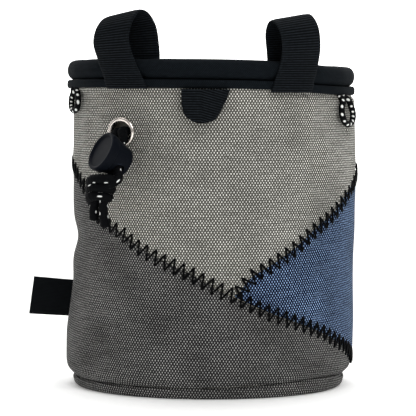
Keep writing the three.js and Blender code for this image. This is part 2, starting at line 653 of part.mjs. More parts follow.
// Eyelet: a rolled ring with a tube through the canvas and a flange behind it
const eyelet = new THREE.Group();
eyelet.position.copy(eyeletMiddle);
eyelet.quaternion.copy(outwards);
bag.add(eyelet);
const backFlange = -CLOTH - 2 * GAP;
add('eyelet', turned([
  [EYELET_HOLE / 2, backFlange - EYELET_BACK_FLANGE], [EYELET_OUTER / 2, backFlange - EYELET_BACK_FLANGE],
  [EYELET_OUTER / 2, backFlange], [EYELET_TUBE, backFlange], [EYELET_TUBE, GAP], [EYELET_OUTER / 2, GAP],
  [EYELET_OUTER / 2, GAP + EYELET_FLANGE / 2], [EYELET_OUTER / 2 - EYELET_FLANGE / 3, GAP + EYELET_FLANGE],
  [EYELET_HOLE / 2 + EYELET_FLANGE / 3, GAP + EYELET_FLANGE], [EYELET_HOLE / 2, GAP + EYELET_FLANGE / 2],
], 36), nickel(), eyelet);

// Cord lock: a barrel with a sprung button. Its own frame has +Z along the button's way out and +X across
// the two strands, and its origin in the middle of the cord's way through.
const lock = new THREE.Group();
const lockHeading = CORD_HEADING.clone().addScaledVector(LOCK_AXIS, -CORD_HEADING.dot(LOCK_AXIS)).normalize();
const lockAcross = new THREE.Vector3().crossVectors(lockHeading, LOCK_AXIS).normalize();
const acrossLikeEyelet = lockAcross.clone().multiplyScalar(Math.sign(lockAcross.dot(eyeletSide)));
lock.position.copy(fromEyelet(LOCK_MIDDLE));
lock.quaternion.setFromRotationMatrix(new THREE.Matrix4().makeBasis(lockAcross, lockHeading, LOCK_AXIS));
bag.add(lock);
const bodyTop = LOCK_BODY_LENGTH / 2;
const bodyEnd = -LOCK_BODY_LENGTH / 2;
// A slot for the two strands along the cord's way, between two heights on the lock's axis.
function strandSlot(low, high) {
  const slot = new THREE.BoxGeometry(LOCK_SLOT_WIDTH, 3 * LOCK_BODY_DIAMETER, high - low);
  return slot.translate(0, 0, (high + low) / 2);
}
const slotHalf = CORD / 2 + LOCK_SLOT_CLEARANCE;
add('cord_lock_body', cut(turned([
  [0, bodyEnd], [LOCK_END_RADIUS - LOCK_BODY_ROUND, bodyEnd],
  [LOCK_END_RADIUS - LOCK_BODY_ROUND / 4, bodyEnd + LOCK_BODY_ROUND / 3],
  [LOCK_END_RADIUS, bodyEnd + LOCK_BODY_ROUND], [LOCK_END_RADIUS + LOCK_BODY_BELLY, 0],
  [LOCK_BODY_DIAMETER / 2, bodyTop - LOCK_BODY_COLLAR], [LOCK_BODY_DIAMETER / 2, bodyTop], [LOCK_BORE, bodyTop],
  [LOCK_BORE, bodyEnd + LOCK_END_WALL], [0, bodyEnd + LOCK_END_WALL],
], 28), strandSlot(-slotHalf, slotHalf)), lockPlastic(), lock);
const buttonUnder = bodyTop + LOCK_NECK;
const buttonFace = buttonUnder + LOCK_BUTTON_THICKNESS;
const buttonRadius = LOCK_BUTTON_DIAMETER / 2;
const stemEnd = buttonUnder - LOCK_STEM_LENGTH;
add('cord_lock_button', cut(turned([
  [0, stemEnd], [LOCK_STEM_DIAMETER / 2, stemEnd], [LOCK_STEM_DIAMETER / 2, buttonUnder],
  [buttonRadius - LOCK_BUTTON_ROUND, buttonUnder], [buttonRadius, buttonUnder + LOCK_BUTTON_ROUND],
  [buttonRadius, buttonFace - LOCK_BUTTON_ROUND], [buttonRadius - LOCK_BUTTON_ROUND, buttonFace],
  [buttonRadius - LOCK_BUTTON_RIM, buttonFace],
  [buttonRadius - LOCK_BUTTON_RIM - LOCK_BUTTON_ROUND, buttonFace - LOCK_BUTTON_DISH],
  [0, buttonFace - LOCK_BUTTON_DISH],
], 28), strandSlot(-slotHalf, slotHalf + LOCK_TRAVEL)), lockPlastic(), lock);

// Drawstring: two strands out of the eyelet, through the lock and into the knot, and two tails below it
const KNOT_SEGMENTS = 16;
function knotSolid(grow) {
  const ball = new THREE.SphereGeometry(0.5, KNOT_SEGMENTS, KNOT_SEGMENTS / 2);
  ball.scale(KNOT_LENGTH + 2 * grow, KNOT_DEPTH + 2 * grow, KNOT_HEIGHT + 2 * grow);
  const turn = Math.atan2(eyeletSide.y, eyeletSide.x) / 2;
  return ball.rotateZ(turn).translate(...fromEyelet(KNOT_MIDDLE).toArray());
}
add('drawstring_knot', knotSolid(0), blackCord());
const lockIn = lock.position.clone().addScaledVector(lockHeading, -LOCK_BODY_DIAMETER / 2);
const lockOut = lock.position.clone().addScaledVector(lockHeading, LOCK_BODY_DIAMETER / 2);
const strandRoute = [...DRAWSTRING_ROUTE.map(fromEyelet), lockIn, lock.position.clone(), lockOut,
  ...DRAWSTRING_AFTER_LOCK.map(fromEyelet)];
// The strands lie side by side: level at the eyelet, and across the lock from there on.
const strandAcross = strandRoute.map((point, index) => {
  const before = strandRoute[Math.max(index - 1, 0)];
  const after = strandRoute[Math.min(index + 1, strandRoute.length - 1)];
  const heading = after.clone().sub(before).normalize();
  const across = eyeletSide.clone().lerp(acrossLikeEyelet, Math.min(index / DRAWSTRING_ROUTE.length, 1));
  return across.addScaledVector(heading, -across.dot(heading)).normalize();
});
for (const [name, side] of [['drawstring_strand_left', -1], ['drawstring_strand_right', 1]]) {
  const points = strandRoute.map((point, index) => (
    point.clone().addScaledVector(strandAcross[index], (side * STRAND_SPACING) / 2)));
  add(name, cut(cordTube(points, CORD, 8, 22), knotSolid(GAP)), blackCord());
}
for (const [name, route] of Object.entries(TAIL_ROUTES)) {
  add(name, cut(cordTube(route.map(fromEyelet), CORD, 8, 8), knotSolid(GAP)), blackCord());
}

// Brush loops, hanging from under the binding
function brushLoop(angle, drop) {
  const points = BRUSH_ROUTE.map(([sideways, share, out]) => {
    const at = angle + sideways;
    const z = bindingBottom(at) - 2 * GAP - drop * share;
    return place(at, bodyRadius(at, z) + out, z);
  });
  return cordTube(points, BRUSH_CORD, 8, 24);
}
add('brush_loop_left', brushLoop(BRUSH_LEFT_ANGLE, BRUSH_LEFT_DROP), blackCord());
add('brush_loop_right', brushLoop(BRUSH_RIGHT_ANGLE, BRUSH_RIGHT_DROP), blackCord());

export default bag;
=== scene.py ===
"""Looks of the climbing chalk bag: canvas, rim, webbing, cords, eyelet and cord lock."""

import math

import bpy
import bmesh
from bpy.props import FloatProperty, FloatVectorProperty, PointerProperty
from mathutils import Matrix, Vector, noise


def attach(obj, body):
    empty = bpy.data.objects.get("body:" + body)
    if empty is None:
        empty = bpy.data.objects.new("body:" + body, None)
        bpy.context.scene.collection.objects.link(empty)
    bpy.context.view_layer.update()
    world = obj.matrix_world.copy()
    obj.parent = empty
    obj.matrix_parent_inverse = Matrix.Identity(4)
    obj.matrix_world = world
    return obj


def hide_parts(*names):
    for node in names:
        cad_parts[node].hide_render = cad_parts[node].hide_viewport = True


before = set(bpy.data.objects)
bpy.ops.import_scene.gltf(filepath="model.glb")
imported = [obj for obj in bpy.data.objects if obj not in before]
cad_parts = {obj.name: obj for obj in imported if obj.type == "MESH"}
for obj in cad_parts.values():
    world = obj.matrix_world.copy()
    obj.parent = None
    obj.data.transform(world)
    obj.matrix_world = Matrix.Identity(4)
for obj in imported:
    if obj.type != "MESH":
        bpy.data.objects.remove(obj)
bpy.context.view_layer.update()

bl_info = {
    "name": "Chalk Bag Maker",
    "version": (1, 0, 0),
    "blender": (4, 5, 0),
    "location": "View3D > Sidebar > Chalk Bag",
    "description": "Makes a canvas climbing chalk bag piece by piece",
    "category": "Add Mesh",
}

# Sizes are in millimetres, as a maker's pattern is, and turned to metres where a point is made.
MM = 0.001
BAG = "bag"
BUTTON = "lock_button"

# Sizes of the frame
BODY_HEIGHT = 141.4
BODY_RADIUS = 61.5
CLOTH = 2.0
COLLAR_RUN = 2.4
GAP = 0.3
BASE_INSET = 0.8
BASE_ROUND = 2.2
RIM_OVERHANG = 1.3
RIM_HEIGHT = 8.5
RIM_THICKNESS = 7.0
BINDING_HEIGHT = 3.3
BINDING_TAPE = 1.1
CASING_HEIGHT = 27.0
CASING_DEPTH = 5.4
CASING_EDGE = 1.4
CASING_CLEARANCE = 0.6
WEBBING_WIDTH = 20.0
WEBBING_THICKNESS = 1.5
LOOP_RISE = 18.4
LOOP_LAP = 12.6
LOOP_BULGE = 1.2
LOOP_LEFT_ANGLE = -36.3
LOOP_RIGHT_ANGLE = 35.0
TAB_ANGLE = -2.1
TAB_WIDTH = 19.2
TAB_DROP = 14.0
TAB_THICKNESS = 2.8
LABEL_ANGLE = -92.0
LABEL_LENGTH = 17.6
LABEL_HEIGHT = 16.0
LABEL_TAPE = 0.45
LABEL_BOTTOM = 29.1
LABEL_LOW_RISE = 0.9
LABEL_HIGH_RISE = 1.5
LABEL_SEAT = -0.1
EYELET_ANGLE = -37.9
EYELET_DROP = 30.2
EYELET_CLEARANCE = 0.25
EYELET_RING = 1.8
EYELET_TUBE_WALL = 0.5
EYELET_FLANGE = 1.1
EYELET_BACK_FLANGE = 0.6
CORD = 3.8
STRAND_GAP = 0.2
POCKET_DEPTH = 6.1
LOCK_BUTTON_DIAMETER = 17.0
LOCK_BUTTON_THICKNESS = 2.0
LOCK_TRAVEL = 1.6
LOCK_BODY_LENGTH = 9.0
LOCK_BODY_WALL = 1.75
LOCK_BODY_TAPER = 2.0
LOCK_STEM_WALL = 1.2
LOCK_CLEARANCE = 0.3
LOCK_END_WALL = 1.6
LOCK_SLOT_CLEARANCE = 0.35
BRUSH_CORD = 2.6
BRUSH_RIGHT_ANGLE = 64.0
BRUSH_LEFT_ANGLE = -70.8
BRUSH_RIGHT_DROP = 11.6
BRUSH_LEFT_DROP = 8.9
SEAM_LEFT_ANGLE = -92.0
SEAM_RIGHT_ANGLE = 92.0

BINDING_OUTER = BODY_RADIUS + RIM_OVERHANG
COLLAR_RADIUS = BINDING_OUTER - BINDING_TAPE - GAP
RIM_MIDDLE = BINDING_OUTER - RIM_THICKNESS / 2
STRAND_SPACING = CORD + STRAND_GAP
EYELET_HEIGHT = BODY_HEIGHT - EYELET_DROP
EYELET_HOLE = STRAND_SPACING + CORD + 2 * EYELET_CLEARANCE
EYELET_OUTER = EYELET_HOLE + 2 * EYELET_RING
LOCK_STEM_DIAMETER = STRAND_SPACING + CORD + 2 * (LOCK_SLOT_CLEARANCE + LOCK_STEM_WALL)
LOCK_BORE = LOCK_STEM_DIAMETER / 2 + LOCK_CLEARANCE
LOCK_BODY_DIAMETER = 2 * (LOCK_BORE + LOCK_BODY_WALL)


def table(columns, *rows):
    """A table with named columns, as a list of rows by name."""
    names = columns.split()
    return [dict(zip(names, row)) for row in rows]


# Outer radius of the canvas, as shares of the body's radius, at shares of its height.
OUTLINE = table(
    "height left right front back",
    (0.030, 0.995, 0.955, 0.985, 0.985),
    (0.060, 1.030, 0.990, 1.000, 1.000),
    (0.100, 1.036, 1.013, 1.004, 1.004),
    (0.170, 1.033, 1.018, 1.006, 1.008),
    (0.260, 1.007, 1.020, 1.003, 1.006),
    (0.330, 0.986, 1.018, 1.000, 1.003),
    (0.460, 0.985, 1.022, 1.000, 1.000),
    (0.660, 0.983, 1.036, 1.000, 1.000),
    (0.800, 0.977, 1.028, 1.000, 1.000),
    (0.895, 0.977, 1.022, 0.998, 0.998),
)
# Dents and folds: where they are, how far they reach each way, and their depth as a share of the radius.
FOLDS = table(
    "angle height spread reach depth",
    (-90, 0.461, 24, 0.050, -0.040),
    (-78, 0.395, 16, 0.040, 0.008),
    (-60, 0.800, 5, 0.110, 0.009),
    (-68, 0.790, 5, 0.110, -0.008),
    (64, 0.785, 5, 0.050, -0.012),
    (76, 0.100, 12, 0.050, -0.008),
    (-140, 0.450, 20, 0.120, -0.012),
    (150, 0.520, 18, 0.140, -0.010),
)
RIM_LINE = table(
    "angle height",
    (-180, 0.998), (-110, 1.000), (-50, 1.003), (0, 1.000), (25, 0.996), (50, 0.984), (80, 0.980),
    (120, 0.988), (180, 0.998),
)
BASE_SEAM = table(
    "angle height",
    (-180, 0.036), (-90, 0.033), (-45, 0.035), (0, 0.036), (38, 0.046), (55, 0.048), (90, 0.035),
    (180, 0.036),
)
DARK_SEAM = table(
    "angle height",
    (-92, 0.690), (-75, 0.666), (-60, 0.603), (-52, 0.536), (-39, 0.490), (-32, 0.457), (-20, 0.410),
    (-7, 0.366), (5, 0.318), (22.5, 0.257), (34, 0.226), (49, 0.186), (65, 0.140), (92, 0.084),
)
BLUE_SEAM = table(
    "angle height",
    (8.5, 0.306), (16, 0.360), (24, 0.394), (34, 0.438), (45, 0.494), (58, 0.547), (69, 0.600),
    (92, 0.664),
)
# A belt loop from its outer end over the top to its inner end.
LOOP_PATH = table(
    "side bow rise left right tilt",
    (1.00, 0.0, -1.00, 3.0, -3.4, 0),
    (1.00, 0.0, -0.50, 0.0, -1.2, 0),
    (1.00, 0.0, 0.00, -2.9, 0.7, 1),
    (1.00, 1.0, 0.40, -3.9, 0.4, 3),
    (0.92, 1.0, 0.74, -2.7, -0.4, 7),
    (0.50, 0.0, 0.96, -2.0, -1.0, 9),
    (0.00, 0.0, 1.00, -1.6, -1.2, 9),
    (-0.55, 0.0, 0.94, -0.6, -0.8, 8),
    (-0.95, 1.0, 0.70, 0.6, 0.2, 5),
    (-1.00, 1.0, 0.36, 1.8, 0.8, 2),
    (-1.00, 0.0, 0.00, 2.8, 0.8, 0),
    (-1.00, 0.0, -0.50, 1.7, 0.8, 0),
    (-1.00, 0.0, -0.92, 1.7, 0.8, 0),
)
TAB_EDGE = table(
    "across drop",
    (0.00, 0.48), (0.05, 0.72), (0.18, 0.90), (0.32, 0.99), (0.46, 1.00), (0.60, 0.96), (0.72, 0.86),
    (0.82, 0.62), (0.93, 0.32), (1.00, 0.06),
)
# Routes given as offsets from the eyelet's middle on the canvas: sideways, outwards and up.
DRAWSTRING_ROUTE = [(0.0, -5.7, 0.0), (0.0, -2.6, 0.0), (0.0, 0.9, 0.0), (0.8, 2.9, -1.0), (3.0, 4.2, -3.6)]
LOCK_MIDDLE = (5.2, 9.4, -11.3)
DRAWSTRING_AFTER_LOCK = [(9.4, 15.3, -19.6), (8.0, 16.9, -21.5), (5.0, 17.2, -22.4)]
KNOT_MIDDLE = (4.0, 17.2, -22.4)
TAIL_LEFT = [(2.4, 17.4, -24.2), (0.3, 17.4, -28.5), (-0.9, 16.8, -32.5), (-1.2, 16.2, -36.6)]
TAIL_RIGHT = [(5.2, 17.2, -24.4), (4.5, 17.0, -29.0), (3.9, 16.2, -34.0), (4.3, 15.4, -39.4)]
# The brush loops' ends go up into the binding's seam.
BRUSH_TUCK = 2.4
# A brush loop from its middle under the binding: degrees sideways, share of its drop, distance out.
BRUSH_ROUTE = [
    (-2.3, 0.0, 0.5), (-2.9, 0.15, 1.5), (-4.7, 0.43, 2.0), (-4.6, 0.71, 2.2), (-2.4, 0.94, 2.4),
    (0.9, 1.03, 2.5),
    (4.0, 0.91, 2.5), (5.3, 0.66, 2.3), (4.4, 0.40, 2.0), (2.8, 0.15, 1.5), (2.3, 0.0, 0.5),
]
LOCK_AXIS = Vector((-0.775, -0.44, 0.455)).normalized()
CORD_HEADING = Vector((-0.05, -0.62, -0.78))


# Shape of the bag

def along(rows, key, column, at):
    """Curve through a table's rows, level at its ends."""
    last = len(rows) - 1
    if at <= rows[0][key]:
        return rows[0][column]
    if at >= rows[last][key]:
        return rows[last][column]
    i = 0
    while at > rows[i + 1][key]:
        i += 1

    def slope(j):
        if j <= 0 or j >= last:
            return 0.0
        return (rows[j + 1][column] - rows[j - 1][column]) / (rows[j + 1][key] - rows[j - 1][key])

    span = rows[i + 1][key] - rows[i][key]
    t = (at - rows[i][key]) / span
    t2 = t * t
    t3 = t2 * t
    start = (2 * t3 - 3 * t2 + 1) * rows[i][column] + (t3 - 2 * t2 + t) * span * slope(i)
    return start + (3 * t2 - 2 * t3) * rows[i + 1][column] + (t3 - t2) * span * slope(i + 1)


def mix(a, b, t):
    """A value part of the way from one to another."""
    return a + (b - a) * t


def smooth(low, high, at):
    """A soft step from 0 to 1 between two places."""
    t = min(max((at - low) / (high - low), 0.0), 1.0)
    return t * t * (3 - 2 * t)


def wrap(angle):
    """The same angle between -180 and 180 degrees."""
    return angle - 360 * round(angle / 360)


def rim_top(angle):
    """Height of the rim's top edge."""
    return BODY_HEIGHT * along(RIM_LINE, "angle", "height", wrap(angle))


def binding_top(angle):
    """Height of the binding's upper edge, under the rim."""
    return rim_top(angle) - RIM_HEIGHT - GAP


def binding_bottom(angle):
    """Height of the binding's lower edge."""
    return binding_top(angle) - BINDING_HEIGHT


def wall_top(angle):
    """Height of the canvas's upper edge, inside the binding."""
    return binding_top(angle) - BINDING_TAPE - GAP


def base_seam(angle):
    """Height of the seam round the base."""
    return BODY_HEIGHT * along(BASE_SEAM, "angle", "height", wrap(angle))


def dark_seam(angle):
    """Height of the seam over the dark canvas."""
    return BODY_HEIGHT * along(DARK_SEAM, "angle", "height", angle)


def blue_seam(angle):
    """Height of the seam over the blue canvas."""
    return BODY_HEIGHT * along(BLUE_SEAM, "angle", "height", angle)


def light_bottom(angle):
    """Lower edge of the light canvas: the dark seam up to the junction, then the blue seam."""
    if angle < BLUE_SEAM[0]["angle"]:
        return dark_seam(angle)
    return max(dark_seam(angle), blue_seam(angle))


def body_radius(angle, z):
    """Outer face of the canvas, without its fine wrinkles."""
    turn = math.radians(wrap(angle))
    height = z / BODY_HEIGHT
    side = along(OUTLINE, "height", "left" if turn < 0 else "right", height)
    face = along(OUTLINE, "height", "front" if math.cos(turn) > 0 else "back", height)
    share = side * math.sin(turn) ** 2 + face * math.cos(turn) ** 2
    for fold in FOLDS:
        sideways = wrap(angle - fold["angle"]) / fold["spread"]
        upwards = (height - fold["height"]) / fold["reach"]
        share += fold["depth"] * math.exp(-sideways * sideways - upwards * upwards)
    collar = smooth(binding_bottom(angle) - COLLAR_RUN, binding_bottom(angle) - GAP, z)
    return mix(share * BODY_RADIUS, COLLAR_RADIUS, collar)


def place(angle, radius, z):
    """A point from its angle in degrees, radius and height in millimetres, in metres."""
    turn = math.radians(angle)
    return Vector((radius * math.sin(turn), -radius * math.cos(turn), z)) * MM


EYELET_OUT = Vector((math.sin(math.radians(EYELET_ANGLE)), -math.cos(math.radians(EYELET_ANGLE)), 0))
EYELET_SIDE = Vector((-EYELET_OUT.y, EYELET_OUT.x, 0))
EYELET_MIDDLE = place(EYELET_ANGLE, body_radius(EYELET_ANGLE, EYELET_HEIGHT), EYELET_HEIGHT)


def from_eyelet(offset):
    """A point from its offset sideways, outwards and up from the eyelet."""
    side, out, up = offset
    return EYELET_MIDDLE + (EYELET_SIDE * side + EYELET_OUT * out + Vector((0, 0, up))) * MM


LOCK_HEADING = (CORD_HEADING - LOCK_AXIS * CORD_HEADING.dot(LOCK_AXIS)).normalized()
LOCK_ACROSS = LOCK_HEADING.cross(LOCK_AXIS).normalized()
LOCK_PLACE = Matrix.Translation(from_eyelet(LOCK_MIDDLE)) @ Matrix((
    (LOCK_ACROSS.x, LOCK_HEADING.x, LOCK_AXIS.x, 0),
    (LOCK_ACROSS.y, LOCK_HEADING.y, LOCK_AXIS.y, 0),
    (LOCK_ACROSS.z, LOCK_HEADING.z, LOCK_AXIS.z, 0),
    (0, 0, 0, 1),
))

# The cord's pull turns the eyelet towards the front, and the canvas round it.
EYELET_TURN = 12.0
EYELET_PULL_REACH = 12.0
EYELET_FACE = Matrix.Rotation(math.radians(EYELET_TURN), 3, "Z") @ EYELET_OUT

# The canvas is flat round the eyelet as far as the first radius, and wrinkled from the second.
EYELET_FLAT = 5.4
EYELET_SLACK = 9.0
# Size of the canvas's wrinkles, and of the pinch and puckers beside a seam
WRINKLES = table("size depth", (26.0, 0.42), (10.0, 0.16))
SEAM_DIP = 0.55
SEAM_DIP_REACH = 1.3
PUCKER_DEPTH = 0.22
PUCKER_REACH = 4.5
PUCKER_LENGTH = 4.0
HEM_DIP = 0.9
HEM_REACH = 1.3


def seam_pull(angle, z, seam, start, end):
    """Dip and puckers of the canvas beside a seam."""
    if not start <= angle <= end:
        return 0.0
    step = 1.0
    slope = (seam(angle + step) - seam(angle - step)) / (2 * step * math.radians(1) * BODY_RADIUS)
    distance = (z - seam(angle)) / math.sqrt(1 + slope * slope)
    run = math.radians(angle) * BODY_RADIUS * math.sqrt(1 + slope * slope)
    pucker = PUCKER_DEPTH * math.sin(2 * math.pi * run / PUCKER_LENGTH)
    dip = SEAM_DIP * math.exp(-(distance / SEAM_DIP_REACH) ** 2)
    return pucker * math.exp(-(distance / PUCKER_REACH) ** 2) - dip


# The crease that the right brush loop has pressed into the canvas: its two ends, and its depth and width
CREASE = ((61.0, 120.0), (70.0, 109.0))
CREASE_DEPTH = 0.8
CREASE_WIDTH = 0.75
CREASE_FADE = 0.1


def crease(angle, z):
    """Depth of the crease below the right brush loop."""
    scale = math.radians(1) * BODY_RADIUS
    (angle_a, z_a), (angle_b, z_b) = CREASE
    run = Vector(((angle_b - angle_a) * scale, z_b - z_a))
    spot = Vector((wrap(angle - angle_a) * scale, z - z_a))
    share = min(max(spot.dot(run) / run.length_squared, 0.0), 1.0)
    away = (spot - run * share).length
    fade = math.sin(math.pi * (CREASE_FADE + (1 - 2 * CREASE_FADE) * share))
    return CREASE_DEPTH * fade * math.exp(-(away / CREASE_WIDTH) ** 2)


def relief(angle, z):
    """Wrinkles of the canvas, out from its plain shape, in millimetres."""
    point = place(angle, BODY_RADIUS, z) / MM
    height = sum(noise.noise(point / row["size"]) * row["depth"] for row in WRINKLES)
    sideways = wrap(angle - EYELET_ANGLE) * math.radians(1) * BODY_RADIUS
    away = math.hypot(sideways, z - EYELET_HEIGHT)
    height *= smooth(EYELET_FLAT, EYELET_SLACK, away)
    height -= math.tan(math.radians(EYELET_TURN)) * sideways * math.exp(-(away / EYELET_PULL_REACH) ** 4)
    height += seam_pull(angle, z, dark_seam, SEAM_LEFT_ANGLE, SEAM_RIGHT_ANGLE)
    height += seam_pull(angle, z, blue_seam, BLUE_SEAM[0]["angle"], SEAM_RIGHT_ANGLE)
    height -= crease(angle, z)
    height -= HEM_DIP * math.exp(-((z - base_seam(angle)) / HEM_REACH) ** 2)
    for seam_angle in (SEAM_LEFT_ANGLE, SEAM_RIGHT_ANGLE):
        away = wrap(angle - seam_angle) * math.radians(1) * BODY_RADIUS
        height -= SEAM_DIP * math.exp(-(away / SEAM_DIP_REACH) ** 2)
    return height * (1 - smooth(binding_bottom(angle) - COLLAR_RUN, binding_bottom(angle), z))


# Mesh helpers

def finish_piece(mesh_object, node_names, body=BAG):
    """Puts a made piece in the place of its frame nodes, which it hides, and on their body."""
    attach(mesh_object, body)
    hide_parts(*node_names)
    return mesh_object


# Lengths under this count as none.
TINY = 1e-6


def linked(name, data):
    """An object of the scene that shows a mesh, a lamp or the camera."""
    made = bpy.data.objects.new(name, data)
    bpy.context.scene.collection.objects.link(made)
    return made


def smoothed(name, mesh, sharp):
    """An object of a mesh with smooth faces and with sharp edges from an angle in degrees."""
    mesh.polygons.foreach_set("use_smooth", [True] * len(mesh.polygons))
    mesh.set_sharp_from_angle(angle=math.radians(sharp))
    return linked(name, mesh)


def mesh_piece(name, points, faces, materials, uvs, face_materials, sharp):
    """A mesh object from points, faces and a place on the cloth for each corner of each face."""
    mesh = bpy.data.meshes.new(name)
    mesh.from_pydata(points, [], faces)
    layer = mesh.uv_layers.new(name="Cloth")
    layer.data.foreach_set("uv", [value for face in uvs for corner in face for value in corner])
    for material in materials:
        mesh.materials.append(material)
    mesh.polygons.foreach_set("material_index", face_materials)
    mesh.validate()
    build = bmesh.new()
    build.from_mesh(mesh)
    if build.calc_volume(signed=True) < 0:
        bmesh.ops.reverse_faces(build, faces=build.faces)
    build.to_mesh(mesh)
    build.free()
    return smoothed(name, mesh, sharp)


def loft(name, sections, materials, closed=False, kinds=None, sharp=40):
    """A closed solid through equal sections, each a list of points with their places on the cloth.

    kinds gives the material of each strip round a section.
    """
    count = len(sections[0])
    points = [point for section in sections for point, uv in section]
    uv_points = [uv for section in sections for point, uv in section]
    faces = []
    uvs = []
    indices = []
    last = len(sections) - 1
    for i in range(last + 1 if closed else last):
        here = i * count
        following = (i + 1) % (last + 1) * count
        # The last strip of a ring keeps its cloth's run going, and doesn't fall back to the start.
        turn = None
        if i == last:
            first, second, end = (sections[n][0][1][0] for n in (0, 1, last))
            turn = end + second - first
        for j in range(count):
            k = (j + 1) % count
            corners = (here + j, following + j, following + k, here + k)
            faces.append(corners)
            places = [uv_points[corner] for corner in corners]
            if turn is not None:
                places[1] = (turn, places[1][1])
                places[2] = (turn, places[2][1])
            uvs.append(places)
            indices.append(kinds[j] if kinds else 0)
    if not closed:
        half = count // 2
        for start in (0, last * count):
            for j in range(half - 1):
                corners = (start + j, start + j + 1, start + count - 2 - j, start + count - 1 - j)
                faces.append(corners if start else corners[::-1])
                uvs.append([uv_points[corner] for corner in faces[-1]])
                indices.append(0)
    return mesh_piece(name, points, faces, materials, uvs, indices, sharp)


def round_sections(count, section_at):
    """Sections at even angles all round the bag."""
    return [section_at(-180 + 360 * i / count) for i in range(count)]


def spread(low, high, count):
    """Even values from low to high, in a number of steps."""
    return [mix(low, high, i / count) for i in range(count + 1)]


# Points between two chosen points of a curve, before they are spaced evenly
FINE_STEPS = 24


def smooth_path(points, step):
    """Points a step apart on a smooth curve through chosen points, all in metres."""
    def spot(i, t):
        p0 = points[max(i - 1, 0)]
        p1 = points[i]
        p2 = points[i + 1]
        p3 = points[min(i + 2, len(points) - 1)]
        knots = [0.0]
        for a, b in ((p0, p1), (p1, p2), (p2, p3)):
            knots.append(knots[-1] + max((b - a).length, TINY) ** 0.5)
        at = mix(knots[1], knots[2], t)

        def between(a, b, low, high):
            return a.lerp(b, (at - low) / (high - low))

        a1 = between(p0, p1, knots[0], knots[1]) if p0 != p1 else p1
        a2 = between(p1, p2, knots[1], knots[2])
        a3 = between(p2, p3, knots[2], knots[3]) if p2 != p3 else p2
        b1 = between(a1, a2, knots[0], knots[2])
        b2 = between(a2, a3, knots[1], knots[3])
        return between(b1, b2, knots[1], knots[2])

    fine = [spot(i, t / FINE_STEPS) for i in range(len(points) - 1) for t in range(FINE_STEPS)]
    fine.append(points[-1].copy())
    length = sum((b - a).length for a, b in zip(fine, fine[1:]))
    count = max(int(round(length / step)), 2)
    made = [fine[0].copy()]
    target = length / count
    gone = 0.0
    for a, b in zip(fine, fine[1:]):
        piece = (b - a).length
        while len(made) < count and gone + piece >= target * len(made):
            made.append(a.lerp(b, (target * len(made) - gone) / piece))
        gone += piece
    made.append(fine[-1].copy())
    return made


def path_length(points):
    """Length of a line through points."""
    return sum((b - a).length for a, b in zip(points, points[1:]))


def path_frames(points, facing=None):
    """A side and an up vector at each point of a path, without twist or with each side across facing."""
    last = len(points) - 1
    headings = [(points[min(i + 1, last)] - points[max(i - 1, 0)]).normalized() for i in range(last + 1)]
    if facing:
        sides = [facing.cross(heading).normalized() for heading in headings]
        return [(side, heading.cross(side)) for side, heading in zip(sides, headings)]
    side = headings[0].orthogonal().normalized()
    frames = []
    for heading in headings:
        side = (side - heading * side.dot(heading)).normalized()
        frames.append((side.copy(), heading.cross(side)))
    return frames


# Braid of a cord: strands round it each way, their length along it for one turn, and how far they stand out
BRAID_STRANDS = 6
BRAID_TURN = 9.0
BRAID_HEIGHT = 0.055
# Share of its width that a cord still has at its rounded end
CORD_END = 0.25


def cord_piece(name, points, diameter, material, sides=28, end_round=0.35, facing=None):
    """A braided cord along a path: a tube whose surface has the braid's crossing strands."""
    sections = []
    gone = 0.0
    total = path_length(points)
    for i, (point, (side, up)) in enumerate(zip(points, path_frames(points, facing))):
        if i:
            gone += (point - points[i - 1]).length
        from_end = min(gone, total - gone) / (end_round * diameter)
        shrink = math.sqrt(max(1 - (1 - min(from_end, 1)) ** 2, 0.0)) * (1 - CORD_END) + CORD_END
        phase = 2 * math.pi * gone / (BRAID_TURN * MM)
        section = []
        for j in range(sides):
            turn = 2 * math.pi * j / sides
            crossing = math.cos(BRAID_STRANDS * turn + phase * BRAID_STRANDS / 2)
            crossing *= math.cos(BRAID_STRANDS * turn - phase * BRAID_STRANDS / 2)
            radius = diameter / 2 * (1 + BRAID_HEIGHT * crossing) * shrink
            spot = point + (side * math.cos(turn) + up * math.sin(turn)) * radius
            section.append((spot, (gone, j / sides)))
        sections.append(section)
    return loft(name, sections, [material], sharp=70)


def turned(name, profile, materials, segments, transform):
    """A turned solid about an axis from a closed profile of radii and heights, in millimetres."""
    build = bmesh.new()
    rings = []
    for radius, z in profile:
        if radius < TINY:
            rings.append([build.verts.new((0, 0, z * MM))] * segments)
            continue
        ring = []
        for i in range(segments):
            turn = 2 * math.pi * i / segments
            spot = (radius * math.cos(turn) * MM, radius * math.sin(turn) * MM, z * MM)
            ring.append(build.verts.new(spot))
        rings.append(ring)
    for a, b in zip(rings, rings[1:] + rings[:1]):
        for i in range(segments):
            k = (i + 1) % segments
            # The corners of a face on the axis are one and the same.
            corners = list(dict.fromkeys((a[i], a[k], b[k], b[i])))
            if len(corners) > 2:
                build.faces.new(corners)
    bmesh.ops.recalc_face_normals(build, faces=build.faces)
    build.transform(transform)
    mesh = bpy.data.meshes.new(name)
    build.to_mesh(mesh)
    build.free()
    for material in materials:
        mesh.materials.append(material)
    return smoothed(name, mesh, 35)


def cut_away(piece, cutter):
    """Cuts one solid out of another and removes the cutter."""
    modifier = piece.modifiers.new("cut", "BOOLEAN")
    modifier.operation = "DIFFERENCE"
    modifier.solver = "EXACT"
    modifier.object = cutter
    bake_modifiers(piece)
    bpy.data.objects.remove(cutter)
    return piece


def bake_modifiers(piece):
    """Makes a piece's modifiers part of its mesh."""
    graph = bpy.context.evaluated_depsgraph_get()
    made = bpy.data.meshes.new_from_object(piece.evaluated_get(graph))
    piece.modifiers.clear()
    old = piece.data
    piece.data = made
    made.name = piece.name
    bpy.data.meshes.remove(old)
    return piece


# Materials

